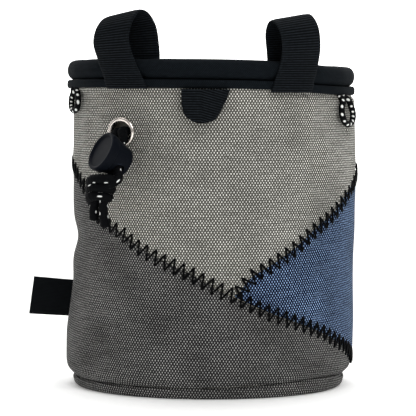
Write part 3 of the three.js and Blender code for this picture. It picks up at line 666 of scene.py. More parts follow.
def linear(code):
    """Linear colour from an sRGB hex value."""
    parts = [int(code[i:i + 2], 16) / 255 for i in (1, 3, 5)]
    return [c / 12.92 if c <= 0.04045 else ((c + 0.055) / 1.055) ** 2.4 for c in parts] + [1.0]


def add(tree, kind, inputs=None, **settings):
    """Adds a node with its settings and links. A node among the inputs stands for its first output."""
    node = tree.nodes.new(kind)
    for key, value in settings.items():
        setattr(node, key, value)
    for key, value in (inputs or {}).items():
        if isinstance(value, bpy.types.Node):
            value = value.outputs[0]
        if isinstance(value, bpy.types.NodeSocket):
            tree.links.new(value, node.inputs[key])
        else:
            node.inputs[key].default_value = value
    return node


def new_material(name, **surface):
    """A material with its shader's own sockets set, and its tree."""
    material = bpy.data.materials.new(name)
    material.use_nodes = True
    shader = material.node_tree.nodes["Principled BSDF"]
    for key, value in surface.items():
        shader.inputs[key.replace("_", " ")].default_value = value
    return material, material.node_tree, shader


def dress(tree, shader, colour, height, strength, depth):
    """Joins a material's colour, if it varies, and its relief of a depth in millimetres to its shader."""
    if colour is not None:
        tree.links.new(colour.outputs[2], shader.inputs["Base Color"])
    bump = add(tree, "ShaderNodeBump", {"Height": height, "Strength": strength, "Distance": depth * MM})
    tree.links.new(bump.outputs[0], shader.inputs["Normal"])


class Finishes:
    """The bag's materials, each made once."""
    made = {}


# Plain-woven canvas of slubby yarn, garment washed: pale yarn ends stand out as dots on a darker ground.
WEAVE_ACROSS = 1.27
WEAVE_UP = 0.97
GAP_SHADE = 0.42
WANDER_SIZE = 3.0
WANDER = 0.55
SLUB_LENGTH = 14.0
SPECK_SIZE = 1.1
WASH_SIZE = 22.0
# Heights of the weave's waves where a dot starts and where it is full, and where the gap's shade ends
DOT_START = 0.15
DOT_FULL = 0.8
GAP_END = 0.45
# Levels of the slubs and specks together where the dots are weakest and strongest, and their strength there
YARN_LOW = 0.75
YARN_HIGH = 1.3
DOT_WEAK = 0.45
DOT_STRONG = 1.45
# Levels of the wash marks where the cloth is darkest and lightest
WASH_LOW = 0.3
WASH_HIGH = 0.7


def canvas(name, pale, ground, turn, wash_depth):
    """Canvas in two shades, with its weave turned by some degrees and washed out by a share."""
    material, tree, shader = new_material(name, Roughness=0.95, Specular_IOR_Level=0.1)
    cloth = add(tree, "ShaderNodeUVMap", uv_map="Cloth")
    laid = add(tree, "ShaderNodeMapping", {"Vector": cloth, "Rotation": (0, 0, math.radians(turn))})
    wander = add(tree, "ShaderNodeTexNoise", {"Vector": laid, "Scale": 1 / (WANDER_SIZE * MM),
                                              "Detail": 2.0})
    centred = add(tree, "ShaderNodeVectorMath", {0: wander.outputs["Color"], 1: (0.5, 0.5, 0.5)},
                  operation="SUBTRACT")
    shift = add(tree, "ShaderNodeVectorMath", {0: centred, "Scale": WANDER * MM}, operation="SCALE")
    yarn = add(tree, "ShaderNodeVectorMath", {0: laid, 1: shift}, operation="ADD")
    axes = add(tree, "ShaderNodeSeparateXYZ", {0: yarn})
    waves = []
    for axis, pitch in ((0, WEAVE_ACROSS), (1, 2 * WEAVE_UP)):
        run = add(tree, "ShaderNodeMath", {0: axes.outputs[axis], 1: 2 * math.pi / (pitch * MM)},
                  operation="MULTIPLY")
        waves.append(add(tree, "ShaderNodeMath", {0: run}, operation="COSINE"))
    weave = add(tree, "ShaderNodeMath", {0: waves[0], 1: waves[1]}, operation="MULTIPLY")
    dots = add(tree, "ShaderNodeMapRange", {"Value": weave, "From Min": DOT_START, "From Max": DOT_FULL},
               interpolation_type="SMOOTHSTEP")
    # Slubs: yarns along the cloth take the dye unevenly.
    drawn = add(tree, "ShaderNodeMapping", {"Vector": laid,
                                            "Scale": (1 / (SLUB_LENGTH * MM), 1 / (WEAVE_UP * MM), 1)})
    slub = add(tree, "ShaderNodeTexNoise", {"Vector": drawn, "Scale": 1.0, "Detail": 3.0})
    speck = add(tree, "ShaderNodeTexNoise", {"Vector": laid, "Scale": 1 / (SPECK_SIZE * MM), "Detail": 2.0})
    wash = add(tree, "ShaderNodeTexNoise", {"Vector": laid, "Scale": 1 / (WASH_SIZE * MM), "Detail": 4.0})
    strength = add(tree, "ShaderNodeMath", {0: slub, 1: speck}, operation="ADD")
    lively = add(tree, "ShaderNodeMapRange", {"Value": strength, "From Min": YARN_LOW, "From Max": YARN_HIGH,
                                              "To Min": DOT_WEAK, "To Max": DOT_STRONG})
    amount = add(tree, "ShaderNodeMath", {0: dots, 1: lively}, operation="MULTIPLY", use_clamp=True)
    colour = add(tree, "ShaderNodeMix", {0: amount, 6: linear(ground), 7: linear(pale)}, data_type="RGBA")
    # Between the floats of warp and weft the light sinks into the gaps.
    height = add(tree, "ShaderNodeMath", {0: weave}, operation="ABSOLUTE")
    shade = add(tree, "ShaderNodeMapRange", {"Value": height, "From Max": GAP_END, "To Min": GAP_SHADE},
                interpolation_type="SMOOTHSTEP")
    faded = add(tree, "ShaderNodeMapRange", {"Value": wash, "From Min": WASH_LOW, "From Max": WASH_HIGH,
                                             "To Min": 1 - wash_depth, "To Max": 1 + wash_depth})
    level = add(tree, "ShaderNodeMath", {0: faded, 1: shade}, operation="MULTIPLY")
    washed = add(tree, "ShaderNodeVectorMath", {0: colour.outputs[2], "Scale": level}, operation="SCALE")
    tree.links.new(washed.outputs[0], shader.inputs["Base Color"])
    dress(tree, shader, None, amount, 0.7, 0.16)
    return material


# Each row's two colours are painted light and shade: the lighter one for the ridges' crests, the darker one
# for their grooves.
RIDGED = table(
    "key name face valley roughness specular ridge turn lint detail strength depth",
    # Fine polyester twill: steep diagonal ridges with a dull sheen, 0.4 mm apart and drawn at 0.7.
    ("twill", "Black polyester twill", "#20262b", "#090c0f", 0.85, 0.03, 0.7, 38, 2.2, 5.0, 0.6, 0.1),
    # Woven label tape: a dense satin weave, nearly smooth, with a fine cross rib.
    ("tape", "Black woven label tape", "#121619", "#050709", 0.7, 0.05, 0.6, -90, 4.0, 4.0, 0.4, 0.06),
)


def ridged_cloth(row):
    """Black cloth of straight ridges, with a painted highlight on their crests and painted shade in their
    grooves, made uneven by a lint noise.
    """
    material, tree, shader = new_material(row["name"], Roughness=row["roughness"],
                                          Specular_IOR_Level=row["specular"])
    cloth = add(tree, "ShaderNodeUVMap", uv_map="Cloth")
    laid = add(tree, "ShaderNodeMapping", {"Vector": cloth, "Rotation": (0, 0, math.radians(row["turn"]))})
    axes = add(tree, "ShaderNodeSeparateXYZ", {0: laid})
    run = add(tree, "ShaderNodeMath", {0: axes, 1: 2 * math.pi / (row["ridge"] * MM)}, operation="MULTIPLY")
    ridge = add(tree, "ShaderNodeMath", {0: run}, operation="SINE")
    level = add(tree, "ShaderNodeMapRange", {"Value": ridge, "From Min": -1.0, "From Max": 1.0})
    lint = add(tree, "ShaderNodeTexNoise", {"Vector": cloth, "Scale": 1 / (row["lint"] * MM),
                                            "Detail": row["detail"]})
    amount = add(tree, "ShaderNodeMath", {0: level, 1: lint}, operation="MULTIPLY")
    # Painted highlight and shade: the ridges' crests take the lighter colour and their grooves the darker
    # one.
    colour = add(tree, "ShaderNodeMix", {0: amount, 6: linear(row["valley"]), 7: linear(row["face"])},
                 data_type="RGBA")
    dress(tree, shader, colour, level, row["strength"], row["depth"])
    return material


# Ribbed nylon webbing: its raised ribs are painted lighter as a highlight over grooves painted dark with
# shade, and fine warp yarns run across them with painted shade between them.
WARP_YARN = 0.55
WARP_SHADE = 0.6
FUZZ_SIZE = 1.5


def webbing(name, face, valley):
    """Webbing whose ribs follow the rib pitch in the settings."""
    material, tree, shader = new_material(name, Roughness=0.75, Specular_IOR_Level=0.05)
    cloth = add(tree, "ShaderNodeUVMap", uv_map="Cloth")
    axes = add(tree, "ShaderNodeSeparateXYZ", {0: cloth})
    run = add(tree, "ShaderNodeMath", {0: axes, 1: 2 * math.pi / (WARP_YARN * MM)}, operation="MULTIPLY")
    warp = add(tree, "ShaderNodeMath", {0: run}, operation="SINE")
    yarns = add(tree, "ShaderNodeMapRange", {"Value": warp, "From Min": -1.0, "From Max": 1.0,
                                             "To Min": WARP_SHADE})
    ribs = add(tree, "ShaderNodeMath", {0: axes.outputs[1], 1: 2 * math.pi / settings().rib_pitch},
               operation="MULTIPLY")
    crest = add(tree, "ShaderNodeMath", {0: ribs}, operation="COSINE")
    raised = add(tree, "ShaderNodeMapRange", {"Value": crest, "From Min": 0.9, "From Max": -1.0},
                 interpolation_type="SMOOTHSTEP")
    level = add(tree, "ShaderNodeMath", {0: yarns, 1: raised}, operation="MULTIPLY")
    fuzz = add(tree, "ShaderNodeTexNoise", {"Vector": cloth, "Scale": 1 / (FUZZ_SIZE * MM), "Detail": 5.0})
    amount = add(tree, "ShaderNodeMath", {0: level, 1: fuzz}, operation="MULTIPLY")
    # Painted highlight and shade: the ribs' crests take the lighter colour and the grooves the darker one.
    colour = add(tree, "ShaderNodeMix", {0: amount, 6: linear(valley), 7: linear(face)}, data_type="RGBA")
    dress(tree, shader, colour, yarns, 0.5, 0.08)
    return material


# Braided polyester cord: black carriers with a white tracer that comes up as a short fleck at even steps.
FLECK_STAGGER = 0.37
FLECK_LEAN = 0.3
FIBRE_LENGTH = 0.9
BRAIDS = table(
    "key name step rows long wide share fleck",
    ("cord", "Black braided cord with flecks", 5.0, 3, 0.15, 0.09, 0.5, "#e4e6e4"),
    ("brush_cord", "Black braided cord with dots", 2.85, 2, 0.21, 0.15, 1.0, "#f2f3f0"),
)


def braided_cord(row, face):
    """Cord with flecks of a length and width as shares of their step and row."""
    material, tree, shader = new_material(row["name"], Roughness=0.75, Specular_IOR_Level=0.06)
    cloth = add(tree, "ShaderNodeUVMap", uv_map="Cloth")
    axes = add(tree, "ShaderNodeSeparateXYZ", {0: cloth})
    rows = add(tree, "ShaderNodeMath", {0: axes.outputs[1], 1: float(row["rows"])}, operation="MULTIPLY")
    number = add(tree, "ShaderNodeMath", {0: rows}, operation="FLOOR")
    in_row = add(tree, "ShaderNodeMath", {0: rows}, operation="FRACT")
    steps = add(tree, "ShaderNodeMath", {0: axes, 1: 1 / (row["step"] * MM)}, operation="MULTIPLY")
    stagger = add(tree, "ShaderNodeMath", {0: number, 1: FLECK_STAGGER}, operation="MULTIPLY")
    staggered = add(tree, "ShaderNodeMath", {0: steps, 1: stagger}, operation="ADD")
    # A fleck leans the way its carrier runs.
    lean = add(tree, "ShaderNodeMath", {0: in_row, 1: FLECK_LEAN, 2: staggered}, operation="MULTIPLY_ADD")
    in_step = add(tree, "ShaderNodeMath", {0: lean}, operation="FRACT")
    shares = []
    for at, size in ((in_row, row["wide"]), (in_step, row["long"])):
        away = add(tree, "ShaderNodeMath", {0: at, 1: 0.5}, operation="SUBTRACT")
        shares.append(add(tree, "ShaderNodeMath", {0: away, 1: size}, operation="DIVIDE"))
    both = add(tree, "ShaderNodeCombineXYZ", {0: shares[0], 1: shares[1]})
    far = add(tree, "ShaderNodeVectorMath", {0: both}, operation="LENGTH")
    inside = add(tree, "ShaderNodeMapRange", {"Value": far.outputs["Value"], "From Min": 1.1,
                                              "From Max": 0.75}, interpolation_type="SMOOTHSTEP")
    # Some flecks stay hidden under the black carriers.
    step_number = add(tree, "ShaderNodeMath", {0: lean}, operation="FLOOR")
    cell = add(tree, "ShaderNodeCombineXYZ", {0: step_number, 1: number})
    chance = add(tree, "ShaderNodeTexWhiteNoise", {"Vector": cell}, noise_dimensions="3D")
    shown = add(tree, "ShaderNodeMath", {0: chance.outputs["Value"], 1: row["share"]},
                operation="LESS_THAN")
    bright = add(tree, "ShaderNodeMath", {0: inside, 1: shown}, operation="MULTIPLY")
    colour = add(tree, "ShaderNodeMix", {0: bright, 6: linear(face), 7: linear(row["fleck"])},
                 data_type="RGBA")
    fibre = add(tree, "ShaderNodeMapping", {"Vector": cloth, "Scale": (1 / (FIBRE_LENGTH * MM), 40.0, 1.0)})
    hair = add(tree, "ShaderNodeTexNoise", {"Vector": fibre, "Scale": 1.0, "Detail": 3.0})
    dress(tree, shader, colour, hair, 0.5, 0.12)
    return material


# Nickel-plated brass, stamped and rolled: a warm bright metal with faint die marks.
DIE_MARK_SIZE = 0.8


def nickel(name, code):
    """Bright metal of one colour, its gloss broken by the die marks."""
    material, tree, shader = new_material(name, Metallic=1.0, Roughness=0.24, Base_Color=linear(code))
    spot = add(tree, "ShaderNodeTexCoord").outputs["Object"]
    marks = add(tree, "ShaderNodeTexNoise", {"Vector": spot, "Scale": 1 / (DIE_MARK_SIZE * MM),
                                             "Detail": 4.0})
    rough = add(tree, "ShaderNodeMapRange", {"Value": marks, "To Min": 0.16, "To Max": 0.34})
    tree.links.new(rough.outputs[0], shader.inputs["Roughness"])
    dress(tree, shader, None, marks, 0.15, 0.05)
    return material


# Injection-moulded acetal with a spark-eroded mould texture: a satin charcoal with a painted highlight on
# its edges.
MOULD_GRAIN = 0.35
MOULD_CLOUD = 5.0
# Pointiness of the surface where the painted edge highlight starts, and where it is full
EDGE_START = 0.52
EDGE_FULL = 0.62


def moulded_plastic(name, face, edge_highlight_colour):
    """Plastic of one colour, with a lighter colour painted on its edges as a highlight."""
    material, tree, shader = new_material(name, Roughness=0.6, Specular_IOR_Level=0.03)
    spot = add(tree, "ShaderNodeTexCoord").outputs["Object"]
    grain = add(tree, "ShaderNodeTexNoise", {"Vector": spot, "Scale": 1 / (MOULD_GRAIN * MM), "Detail": 3.0})
    cloud = add(tree, "ShaderNodeTexNoise", {"Vector": spot, "Scale": 1 / (MOULD_CLOUD * MM), "Detail": 3.0})
    edge = add(tree, "ShaderNodeNewGeometry").outputs["Pointiness"]
    # Painted highlight: the sharp edges take the lighter colour, in patches.
    edge_highlight = add(tree, "ShaderNodeMapRange", {"Value": edge, "From Min": EDGE_START, "From Max": EDGE_FULL})
    share = add(tree, "ShaderNodeMath", {0: edge_highlight, 1: cloud}, operation="MULTIPLY")
    colour = add(tree, "ShaderNodeMix", {0: share, 6: linear(face), 7: linear(edge_highlight_colour)}, data_type="RGBA")
    rough = add(tree, "ShaderNodeMapRange", {"Value": cloud, "To Min": 0.42, "To Max": 0.56})
    tree.links.new(rough.outputs[0], shader.inputs["Roughness"])
    dress(tree, shader, colour, grain, 0.2, 0.03)
    return material


# Brushed polyester fleece: short matted pile with a soft sheen.
PILE_SIZE = 1.2
MATTED_SIZE = 9.0


def fleece(name, face, shade):
    """Fleece whose pile is matted into soft patches."""
    material, tree, shader = new_material(name, Roughness=1.0, Specular_IOR_Level=0.1, Sheen_Weight=0.4,
                                          Sheen_Roughness=0.6)
    spot = add(tree, "ShaderNodeTexCoord").outputs["Object"]
    pile = add(tree, "ShaderNodeTexNoise", {"Vector": spot, "Scale": 1 / (PILE_SIZE * MM), "Detail": 6.0,
                                            "Roughness": 0.7})
    matted = add(tree, "ShaderNodeTexNoise", {"Vector": spot, "Scale": 1 / (MATTED_SIZE * MM),
                                              "Detail": 3.0})
    share = add(tree, "ShaderNodeMath", {0: pile, 1: matted}, operation="ADD")
    level = add(tree, "ShaderNodeMapRange", {"Value": share, "From Min": 0.6, "From Max": 1.3})
    colour = add(tree, "ShaderNodeMix", {0: level, 6: linear(shade), 7: linear(face)}, data_type="RGBA")
    dress(tree, shader, colour, pile, 0.8, 0.5)
    return material


# Bonded polyester sewing thread: two plies twisted together, drawn by a fine spiral bump.
TWIST_SIZE = 2.4


def sewing_thread(name, code):
    """Thread of one colour."""
    material, tree, shader = new_material(name, Roughness=0.7, Specular_IOR_Level=0.05,
                                          Base_Color=linear(code))
    spot = add(tree, "ShaderNodeTexCoord").outputs["Object"]
    twist = add(tree, "ShaderNodeTexWave", {"Vector": spot, "Scale": 1 / (TWIST_SIZE * MM),
                                            "Distortion": 1.0}, bands_direction="DIAGONAL")
    dress(tree, shader, None, twist, 0.5, 0.08)
    return material


def make_finishes():
    """Makes each of the bag's materials."""
    made = Finishes.made
    made["light"] = canvas("Washed light grey canvas", "#fbfaf3", "#5c5b55", 0.0, 0.17)
    made["dark"] = canvas("Washed charcoal canvas", "#b2b1ae", "#2c2c2d", 2.0, 0.28)
    made["blue"] = canvas("Washed denim blue canvas", "#a0bfea", "#05102a", -3.0, 0.24)
    made["webbing"] = webbing("Black ribbed nylon webbing", "#2c3238", "#020304")
    for row in RIDGED:
        made[row["key"]] = ridged_cloth(row)
    for row in BRAIDS:
        made[row["key"]] = braided_cord(row, "#050608")
    made["nickel"] = nickel("Nickel-plated brass", "#efe6de")
    made["plastic"] = moulded_plastic("Moulded acetal", "#0d1016", "#272d3a")
    made["fleece"] = fleece("Brushed fleece", "#d5d2c8", "#a8a59b")
    made["thread"] = sewing_thread("Black sewing thread", "#060708")


# Sizes and colours that a user would change

class ChalkBagSettings(bpy.types.PropertyGroup):
    """Sizes and colours of the bag's finish."""
    stitch_length: FloatProperty(
        name="Stitch length", description="Along the seam for one zigzag", unit="LENGTH",
        default=4.4 * MM, min=1.5 * MM, max=8 * MM)
    stitch_width: FloatProperty(
        name="Stitch width", description="Across the seam", unit="LENGTH",
        default=6.7 * MM, min=1 * MM, max=9 * MM)
    thread: FloatProperty(
        name="Thread", description="Thread diameter", unit="LENGTH",
        default=0.88 * MM, min=0.2 * MM, max=1.5 * MM)
    rib_pitch: FloatProperty(
        name="Rib pitch", description="Distance between the webbing's ribs", unit="LENGTH",
        default=1.05 * MM, min=0.4 * MM, max=3 * MM)
    rib_height: FloatProperty(
        name="Rib height", description="Height of the webbing's ribs", unit="LENGTH",
        default=0.24 * MM, min=0.0, max=0.5 * MM)
    floor_colour: FloatVectorProperty(
        name="Floor", description="Colour of the plain floor", subtype="COLOR",
        size=4, default=linear("#fcfcfb"), min=0, max=1)


def settings():
    """The bag's sizes and colours as the user has set them."""
    return bpy.context.scene.chalk_bag


# Camera, from the photo: scale at the bag's axis and the row of the frame where the eye's level lies
CAMERA_DISTANCE = 1000.0
MM_PER_PIXEL = 0.44
FRAME_PIXELS = 416
AXIS_COLUMN = 211.0
FLOOR_ROW = 382.7
EYE_HEIGHT = 128.0
SENSOR = 36.0
FLOOR_GLOW = 0.13
PANEL_GLOW = 1.5
WORLD_GLOW = 0.26
AIM_HEIGHT = 0.07


def flat_stage_piece(name, corners, material):
    """A flat piece of the studio, which is no part of the bag."""
    mesh = bpy.data.meshes.new(name)
    mesh.from_pydata(corners, [], [(0, 1, 2, 3)])
    mesh.materials.append(material)
    linked(name, mesh)


class StageOperator(bpy.types.Operator):
    """Makes the camera, the lights and the plain floor."""
    bl_idname = "chalk_bag.stage"
    bl_label = "Camera, lights and floor"

    def execute(self, context):
        scene = context.scene
        eye_row = FLOOR_ROW - EYE_HEIGHT / MM_PER_PIXEL
        drop = (FRAME_PIXELS / 2 - eye_row) * MM_PER_PIXEL
        sideways = (FRAME_PIXELS / 2 - AXIS_COLUMN) * MM_PER_PIXEL
        data = bpy.data.cameras.new("camera")
        camera = linked("camera", data)
        data.sensor_width = SENSOR
        data.lens = SENSOR * math.hypot(CAMERA_DISTANCE, drop) / (FRAME_PIXELS * MM_PER_PIXEL)
        data.clip_start = 0.05
        data.clip_end = 20
        camera.location = Vector((sideways, -CAMERA_DISTANCE, EYE_HEIGHT)) * MM
        camera.rotation_euler = (math.pi / 2 - math.atan2(drop, CAMERA_DISTANCE), 0, 0)
        scene.camera = camera
        scene.view_settings.view_transform = "Standard"
        scene.view_settings.look = "None"

        # The floor is matt acrylic over a light table turned low, so its colour hardly varies.
        white = linear("#ffffff")
        acrylic, tree, shader = new_material("Backlit matt acrylic", Roughness=0.9, Specular_IOR_Level=0.1,
                                             Emission_Color=white, Emission_Strength=FLOOR_GLOW)
        cloud = add(tree, "ShaderNodeTexNoise", {"Scale": 40.0, "Detail": 3.0})
        chosen = list(settings().floor_colour)
        colour = add(tree, "ShaderNodeMix", {0: cloud, 6: chosen, 7: linear("#fbfbfa")}, data_type="RGBA")
        tree.links.new(colour.outputs[2], shader.inputs["Base Color"])
        wide = 5.0
        near = -3.0
        far = 2.6
        flat_stage_piece("floor", [(-wide, near, 0), (wide, near, 0), (wide, far, 0), (-wide, far, 0)],
                         acrylic)
        # A backlit panel of white acrylic stands behind the floor, and is the picture's plain background.
        panel, tree, shader = new_material("Backlit white acrylic", Roughness=0.9, Emission_Color=white,
                                           Emission_Strength=PANEL_GLOW)
        low = -0.5
        high = 4.5
        flat_stage_piece("backlit_panel", [(-wide, far, low), (wide, far, low), (wide, far, high),
                                           (-wide, far, high)], panel)

        world = bpy.data.worlds.new("studio")
        world.use_nodes = True
        background = world.node_tree.nodes["Background"]
        background.inputs["Color"].default_value = white
        background.inputs["Strength"].default_value = WORLD_GLOW
        scene.world = world
        lights = table(
            "name x y z size power",
            ("key", 0.6, -1.1, 1.0, 0.8, 7.5),
            ("fill", -0.9, -0.9, 0.6, 0.9, 0.6),
            ("overhead", 0.0, 0.2, 1.3, 1.4, 16.0),
        )
        for row in lights:
            light = bpy.data.lights.new(row["name"], "AREA")
            light.size = row["size"]
            light.energy = row["power"]
            lamp = linked(row["name"], light)
            lamp.location = (row["x"], row["y"], row["z"])
            aim = Vector((0, 0, AIM_HEIGHT)) - lamp.location
            lamp.rotation_euler = aim.to_track_quat("-Z", "Y").to_euler()
        return {"FINISHED"}


def canvas_wall(name, angles, bottom, top, rows, face, thickness=CLOTH, offset=0.0, wrinkled=True,
                sharp=50, extra=None, run_of=None):
    """A wall of cloth over a span of angles, with its outer face, its edges and its lining side.

    offset stands it out from the bag, extra gives a height to add at a place, and run_of the cloth's run.
    """
    sections = []
    for angle in angles:
        low = bottom(angle)
        outer = []
        inner = []
        for z in spread(low, top(angle), rows):
            radius = body_radius(angle, z) + offset
            radius += relief(angle, z) if wrinkled else 0.0
            radius += extra(angle, z, low) if extra else 0.0
            run = run_of(angle, z) if run_of else z * MM
            uv = (math.radians(angle) * BODY_RADIUS * MM, run)
            outer.append((place(angle, radius, z), uv))
            inner.append((place(angle, radius - thickness, z), uv))
        sections.append(outer + inner[::-1])
    kinds = [0] * (rows + 1) + [1] * rows + [0]
    return loft(name, sections, [face, Finishes.made["fleece"]], False, kinds, sharp)


# Degrees between the canvas's columns, and where the blue canvas starts
COLUMN_STEP = 0.8
JUNCTION = BLUE_SEAM[0]["angle"]
BLUE_START = JUNCTION + 1.0
HALF_GAP_ANGLE = math.degrees(GAP / 2 / BODY_RADIUS)


def columns(start, end, step=COLUMN_STEP):
    """Angles of a canvas piece's columns of points."""
    return spread(start, end, max(int(round((end - start) / step)), 2))


def eyelet_cutter(radius, low, high):
    """A round cutter along the eyelet's axis."""
    turn = Vector((0, 0, 1)).rotation_difference(EYELET_OUT).to_matrix().to_4x4()
    where = Matrix.Translation(EYELET_MIDDLE) @ turn
    return turned("cutter", [(0, low), (radius, low), (radius, high), (0, high)], [], 64, where)


class FrontPanelsOperator(bpy.types.Operator):
    """Makes the three canvas pieces of the patchwork front."""
    bl_idname = "chalk_bag.front_panels"
    bl_label = "Front panels"

    def execute(self, context):
        made = Finishes.made
        left = SEAM_LEFT_ANGLE + HALF_GAP_ANGLE
        right = SEAM_RIGHT_ANGLE - HALF_GAP_ANGLE
        beside = columns(BLUE_START, right)
        whole = columns(left, JUNCTION) + beside
        light = canvas_wall("canvas_front_light", whole, lambda a: light_bottom(a) + GAP / 2, wall_top, 90,
                            made["light"])
        cut_away(light, eyelet_cutter(EYELET_HOLE / 2 + EYELET_TUBE_WALL + GAP, -4.0, 4.0))
        finish_piece(light, ["panel_light"])
        dark = canvas_wall("canvas_front_dark", whole, base_seam, lambda a: dark_seam(a) - GAP / 2, 80,
                           made["dark"])
        finish_piece(dark, ["panel_dark"])
        blue = canvas_wall("canvas_front_blue", beside, lambda a: dark_seam(a) + GAP / 2,
                           lambda a: blue_seam(a) - GAP / 2, 70, made["blue"])
        finish_piece(blue, ["panel_blue"])
        declare_canvas(whole, light_bottom, wall_top)
        declare_canvas(whole, base_seam, dark_seam)
        declare_canvas(beside, dark_seam, blue_seam)
        return {"FINISHED"}


def declare_canvas(angles, bottom, top):
    """Works out the heights and edges that a canvas piece was cut to before it was sewn round, and leaves
    them unused.
    """
    heights = [top(angle) - bottom(angle) for angle in angles]
    lows = [bottom(angle) for angle in angles]
    highs = [top(angle) for angle in angles]


class BackPanelOperator(bpy.types.Operator):
    """Makes the plain back half of the canvas."""
    bl_idname = "chalk_bag.back_panel"
    bl_label = "Back panel"

    def execute(self, context):
        angles = columns(SEAM_RIGHT_ANGLE + HALF_GAP_ANGLE, 360 + SEAM_LEFT_ANGLE - HALF_GAP_ANGLE)
        back = canvas_wall("canvas_back", angles, base_seam, wall_top, 110, Finishes.made["dark"])
        finish_piece(back, ["panel_back"])
        declare_canvas(angles, base_seam, wall_top)
        return {"FINISHED"}


# How far the base's cloth dips into its seam and bulges below it, and the slant inside it
BASE_CREASE = 0.8
BASE_BULGE = 0.3
BASE_SLANT = 1.0
BASE_COLUMNS = 360
BASE_RINGS = 20


def base_profile(angle):
    """The base's outer line, from its middle out and up to the seam, and its inner line back."""
    top = base_seam(angle) - GAP
    lip = body_radius(angle, top + GAP) - BASE_INSET
    flat = lip - BASE_ROUND
    outer = [(flat * j / BASE_RINGS, 0.0) for j in range(1, BASE_RINGS)]
    outer += [(lip - BASE_ROUND * (1 - math.sin(turn)), BASE_ROUND * (1 - math.cos(turn)))
              for turn in spread(0, math.pi / 2, 6)]
    for t in spread(0.1, 1, 9):
        bulge = BASE_BULGE * math.sin(math.pi * t) - BASE_CREASE * t ** 6
        outer.append((lip + bulge, mix(BASE_ROUND, top, t)))
    inside = lip - CLOTH - BASE_SLANT
    inner = [(lip - CLOTH, top), (lip - CLOTH, mix(CLOTH, top, 0.5)), (inside, CLOTH)]
    inner += [(inside * j / BASE_RINGS, CLOTH) for j in range(BASE_RINGS - 1, 0, -1)]
    return outer, inner


def base_section(angle):
    """The base's section. Its cloth lies flat below and inside, and runs round the bag at the lip."""
    outer, inner = base_profile(angle)
    turn = math.radians(angle)
    section = []
    for index, (radius, z) in enumerate(outer + inner):
        uv = (radius * math.sin(turn) * MM, radius * math.cos(turn) * MM)
        if BASE_RINGS <= index < len(outer):
            uv = (turn * BODY_RADIUS * MM, z * MM)
        section.append((place(angle, radius, z), uv))
    return section


class BaseOperator(bpy.types.Operator):
    """Makes the shallow canvas base with its turned-up lip."""
    bl_idname = "chalk_bag.base"
    bl_label = "Base"

    def execute(self, context):
        outer_count = len(base_profile(0)[0])
        base = dish(round_sections(BASE_COLUMNS, base_section), outer_count)
        finish_piece(base, ["base_panel"])
        return {"FINISHED"}


def dish(sections, outer_count):
    """The base: sections about the middle, closed at the middle below and above."""
    count = len(sections[0])
    corners = [(Vector((0, 0, 0)), (0, 0)), (Vector((0, 0, CLOTH * MM)), (0, 0))]
    corners += [corner for section in sections for corner in section]
    faces = []
    indices = []
    for i in range(len(sections)):
        here = 2 + i * count
        following = 2 + ((i + 1) % len(sections)) * count
        faces.append((0, following, here))
        indices.append(0)
        for j in range(count - 1):
            faces.append((here + j, following + j, following + j + 1, here + j + 1))
            indices.append(0 if j < outer_count else 1)
        faces.append((1, here + count - 1, following + count - 1))
        indices.append(1)
    points = [point for point, uv in corners]
    uvs = [[corners[corner][1] for corner in face] for face in faces]
    made = Finishes.made
    return mesh_piece("canvas_base", points, faces, [made["dark"], made["fleece"]], uvs, indices, 50)


# Degrees between the rim's sections, a section's squareness, the size and height of the padding's lumps,
# and the share of that height upwards
RING_STEP = 0.75
RIM_SQUARENESS = 0.94
RIM_LUMP = 9.0
RIM_PUFF = 0.22
RIM_PUFF_UP = 0.6
RIM_SIDES = 40
# The belt loops pull the padding in, out to a distance past their edges.
RIM_PULL = 0.18
RIM_PULL_REACH = 4.0
# The binding is pulled up against the roll, its edges are rounded, and it sways a little.
BINDING_SWAY_SIZE = 14.0
BINDING_SWAY = 0.12
BINDING_CLOSE = 0.25
BINDING_CROWN = 0.15
BINDING_EDGE = 0.65
BINDING_END_LIFT = 0.05


def rim_section(angle):
    """The padded roll's section: an oval with the padding's lumps in it."""
    middle = rim_top(angle) - RIM_HEIGHT / 2
    section = []
    for j in range(RIM_SIDES):
        turn = 2 * math.pi * j / RIM_SIDES
        out = math.copysign(abs(math.cos(turn)) ** RIM_SQUARENESS, math.cos(turn))
        up = math.copysign(abs(math.sin(turn)) ** RIM_SQUARENESS, math.sin(turn))
        radius = RIM_MIDDLE + RIM_THICKNESS / 2 * out
        z = middle + RIM_HEIGHT / 2 * up
        puff = noise.noise(place(angle, radius, z) / (RIM_LUMP * MM)) * RIM_PUFF - rim_pull(angle)
        around = j / RIM_SIDES * 2 * (RIM_HEIGHT + RIM_THICKNESS)
        uv = (math.radians(angle) * RIM_MIDDLE * MM, around * MM)
        section.append((place(angle, radius + out * puff, z + up * puff * RIM_PUFF_UP), uv))
    return section


def binding_section(angle):
    """The folded tape's section: its outer face, its top and the faces of its two legs."""
    top = binding_top(angle) + BINDING_CLOSE
    bottom = binding_bottom(angle)
    web = top - BINDING_TAPE
    outer_leg = BINDING_OUTER - BINDING_TAPE
    inner_leg = COLLAR_RADIUS - CLOTH - GAP
    inner_face = inner_leg - BINDING_TAPE
    profile = []
    for t in spread(0, 1, 12):
        crown = BINDING_CROWN - BINDING_EDGE * abs(2 * t - 1) ** 4
        profile.append((BINDING_OUTER + crown, mix(bottom, top, t)))
    profile += [(mix(BINDING_OUTER, inner_face, t), top) for t in (0.25, 0.5, 0.75, 1)]
    profile += [(inner_face, bottom), (inner_leg, bottom), (inner_leg, web), (outer_leg, web),
                (outer_leg, bottom + BINDING_END_LIFT)]
    sway = noise.noise(place(angle, BODY_RADIUS, 0) / (BINDING_SWAY_SIZE * MM)) * BINDING_SWAY
    run = math.radians(angle) * BINDING_OUTER * MM
    return [(place(angle, radius + sway, z), (run, (radius + z) * MM)) for radius, z in profile]


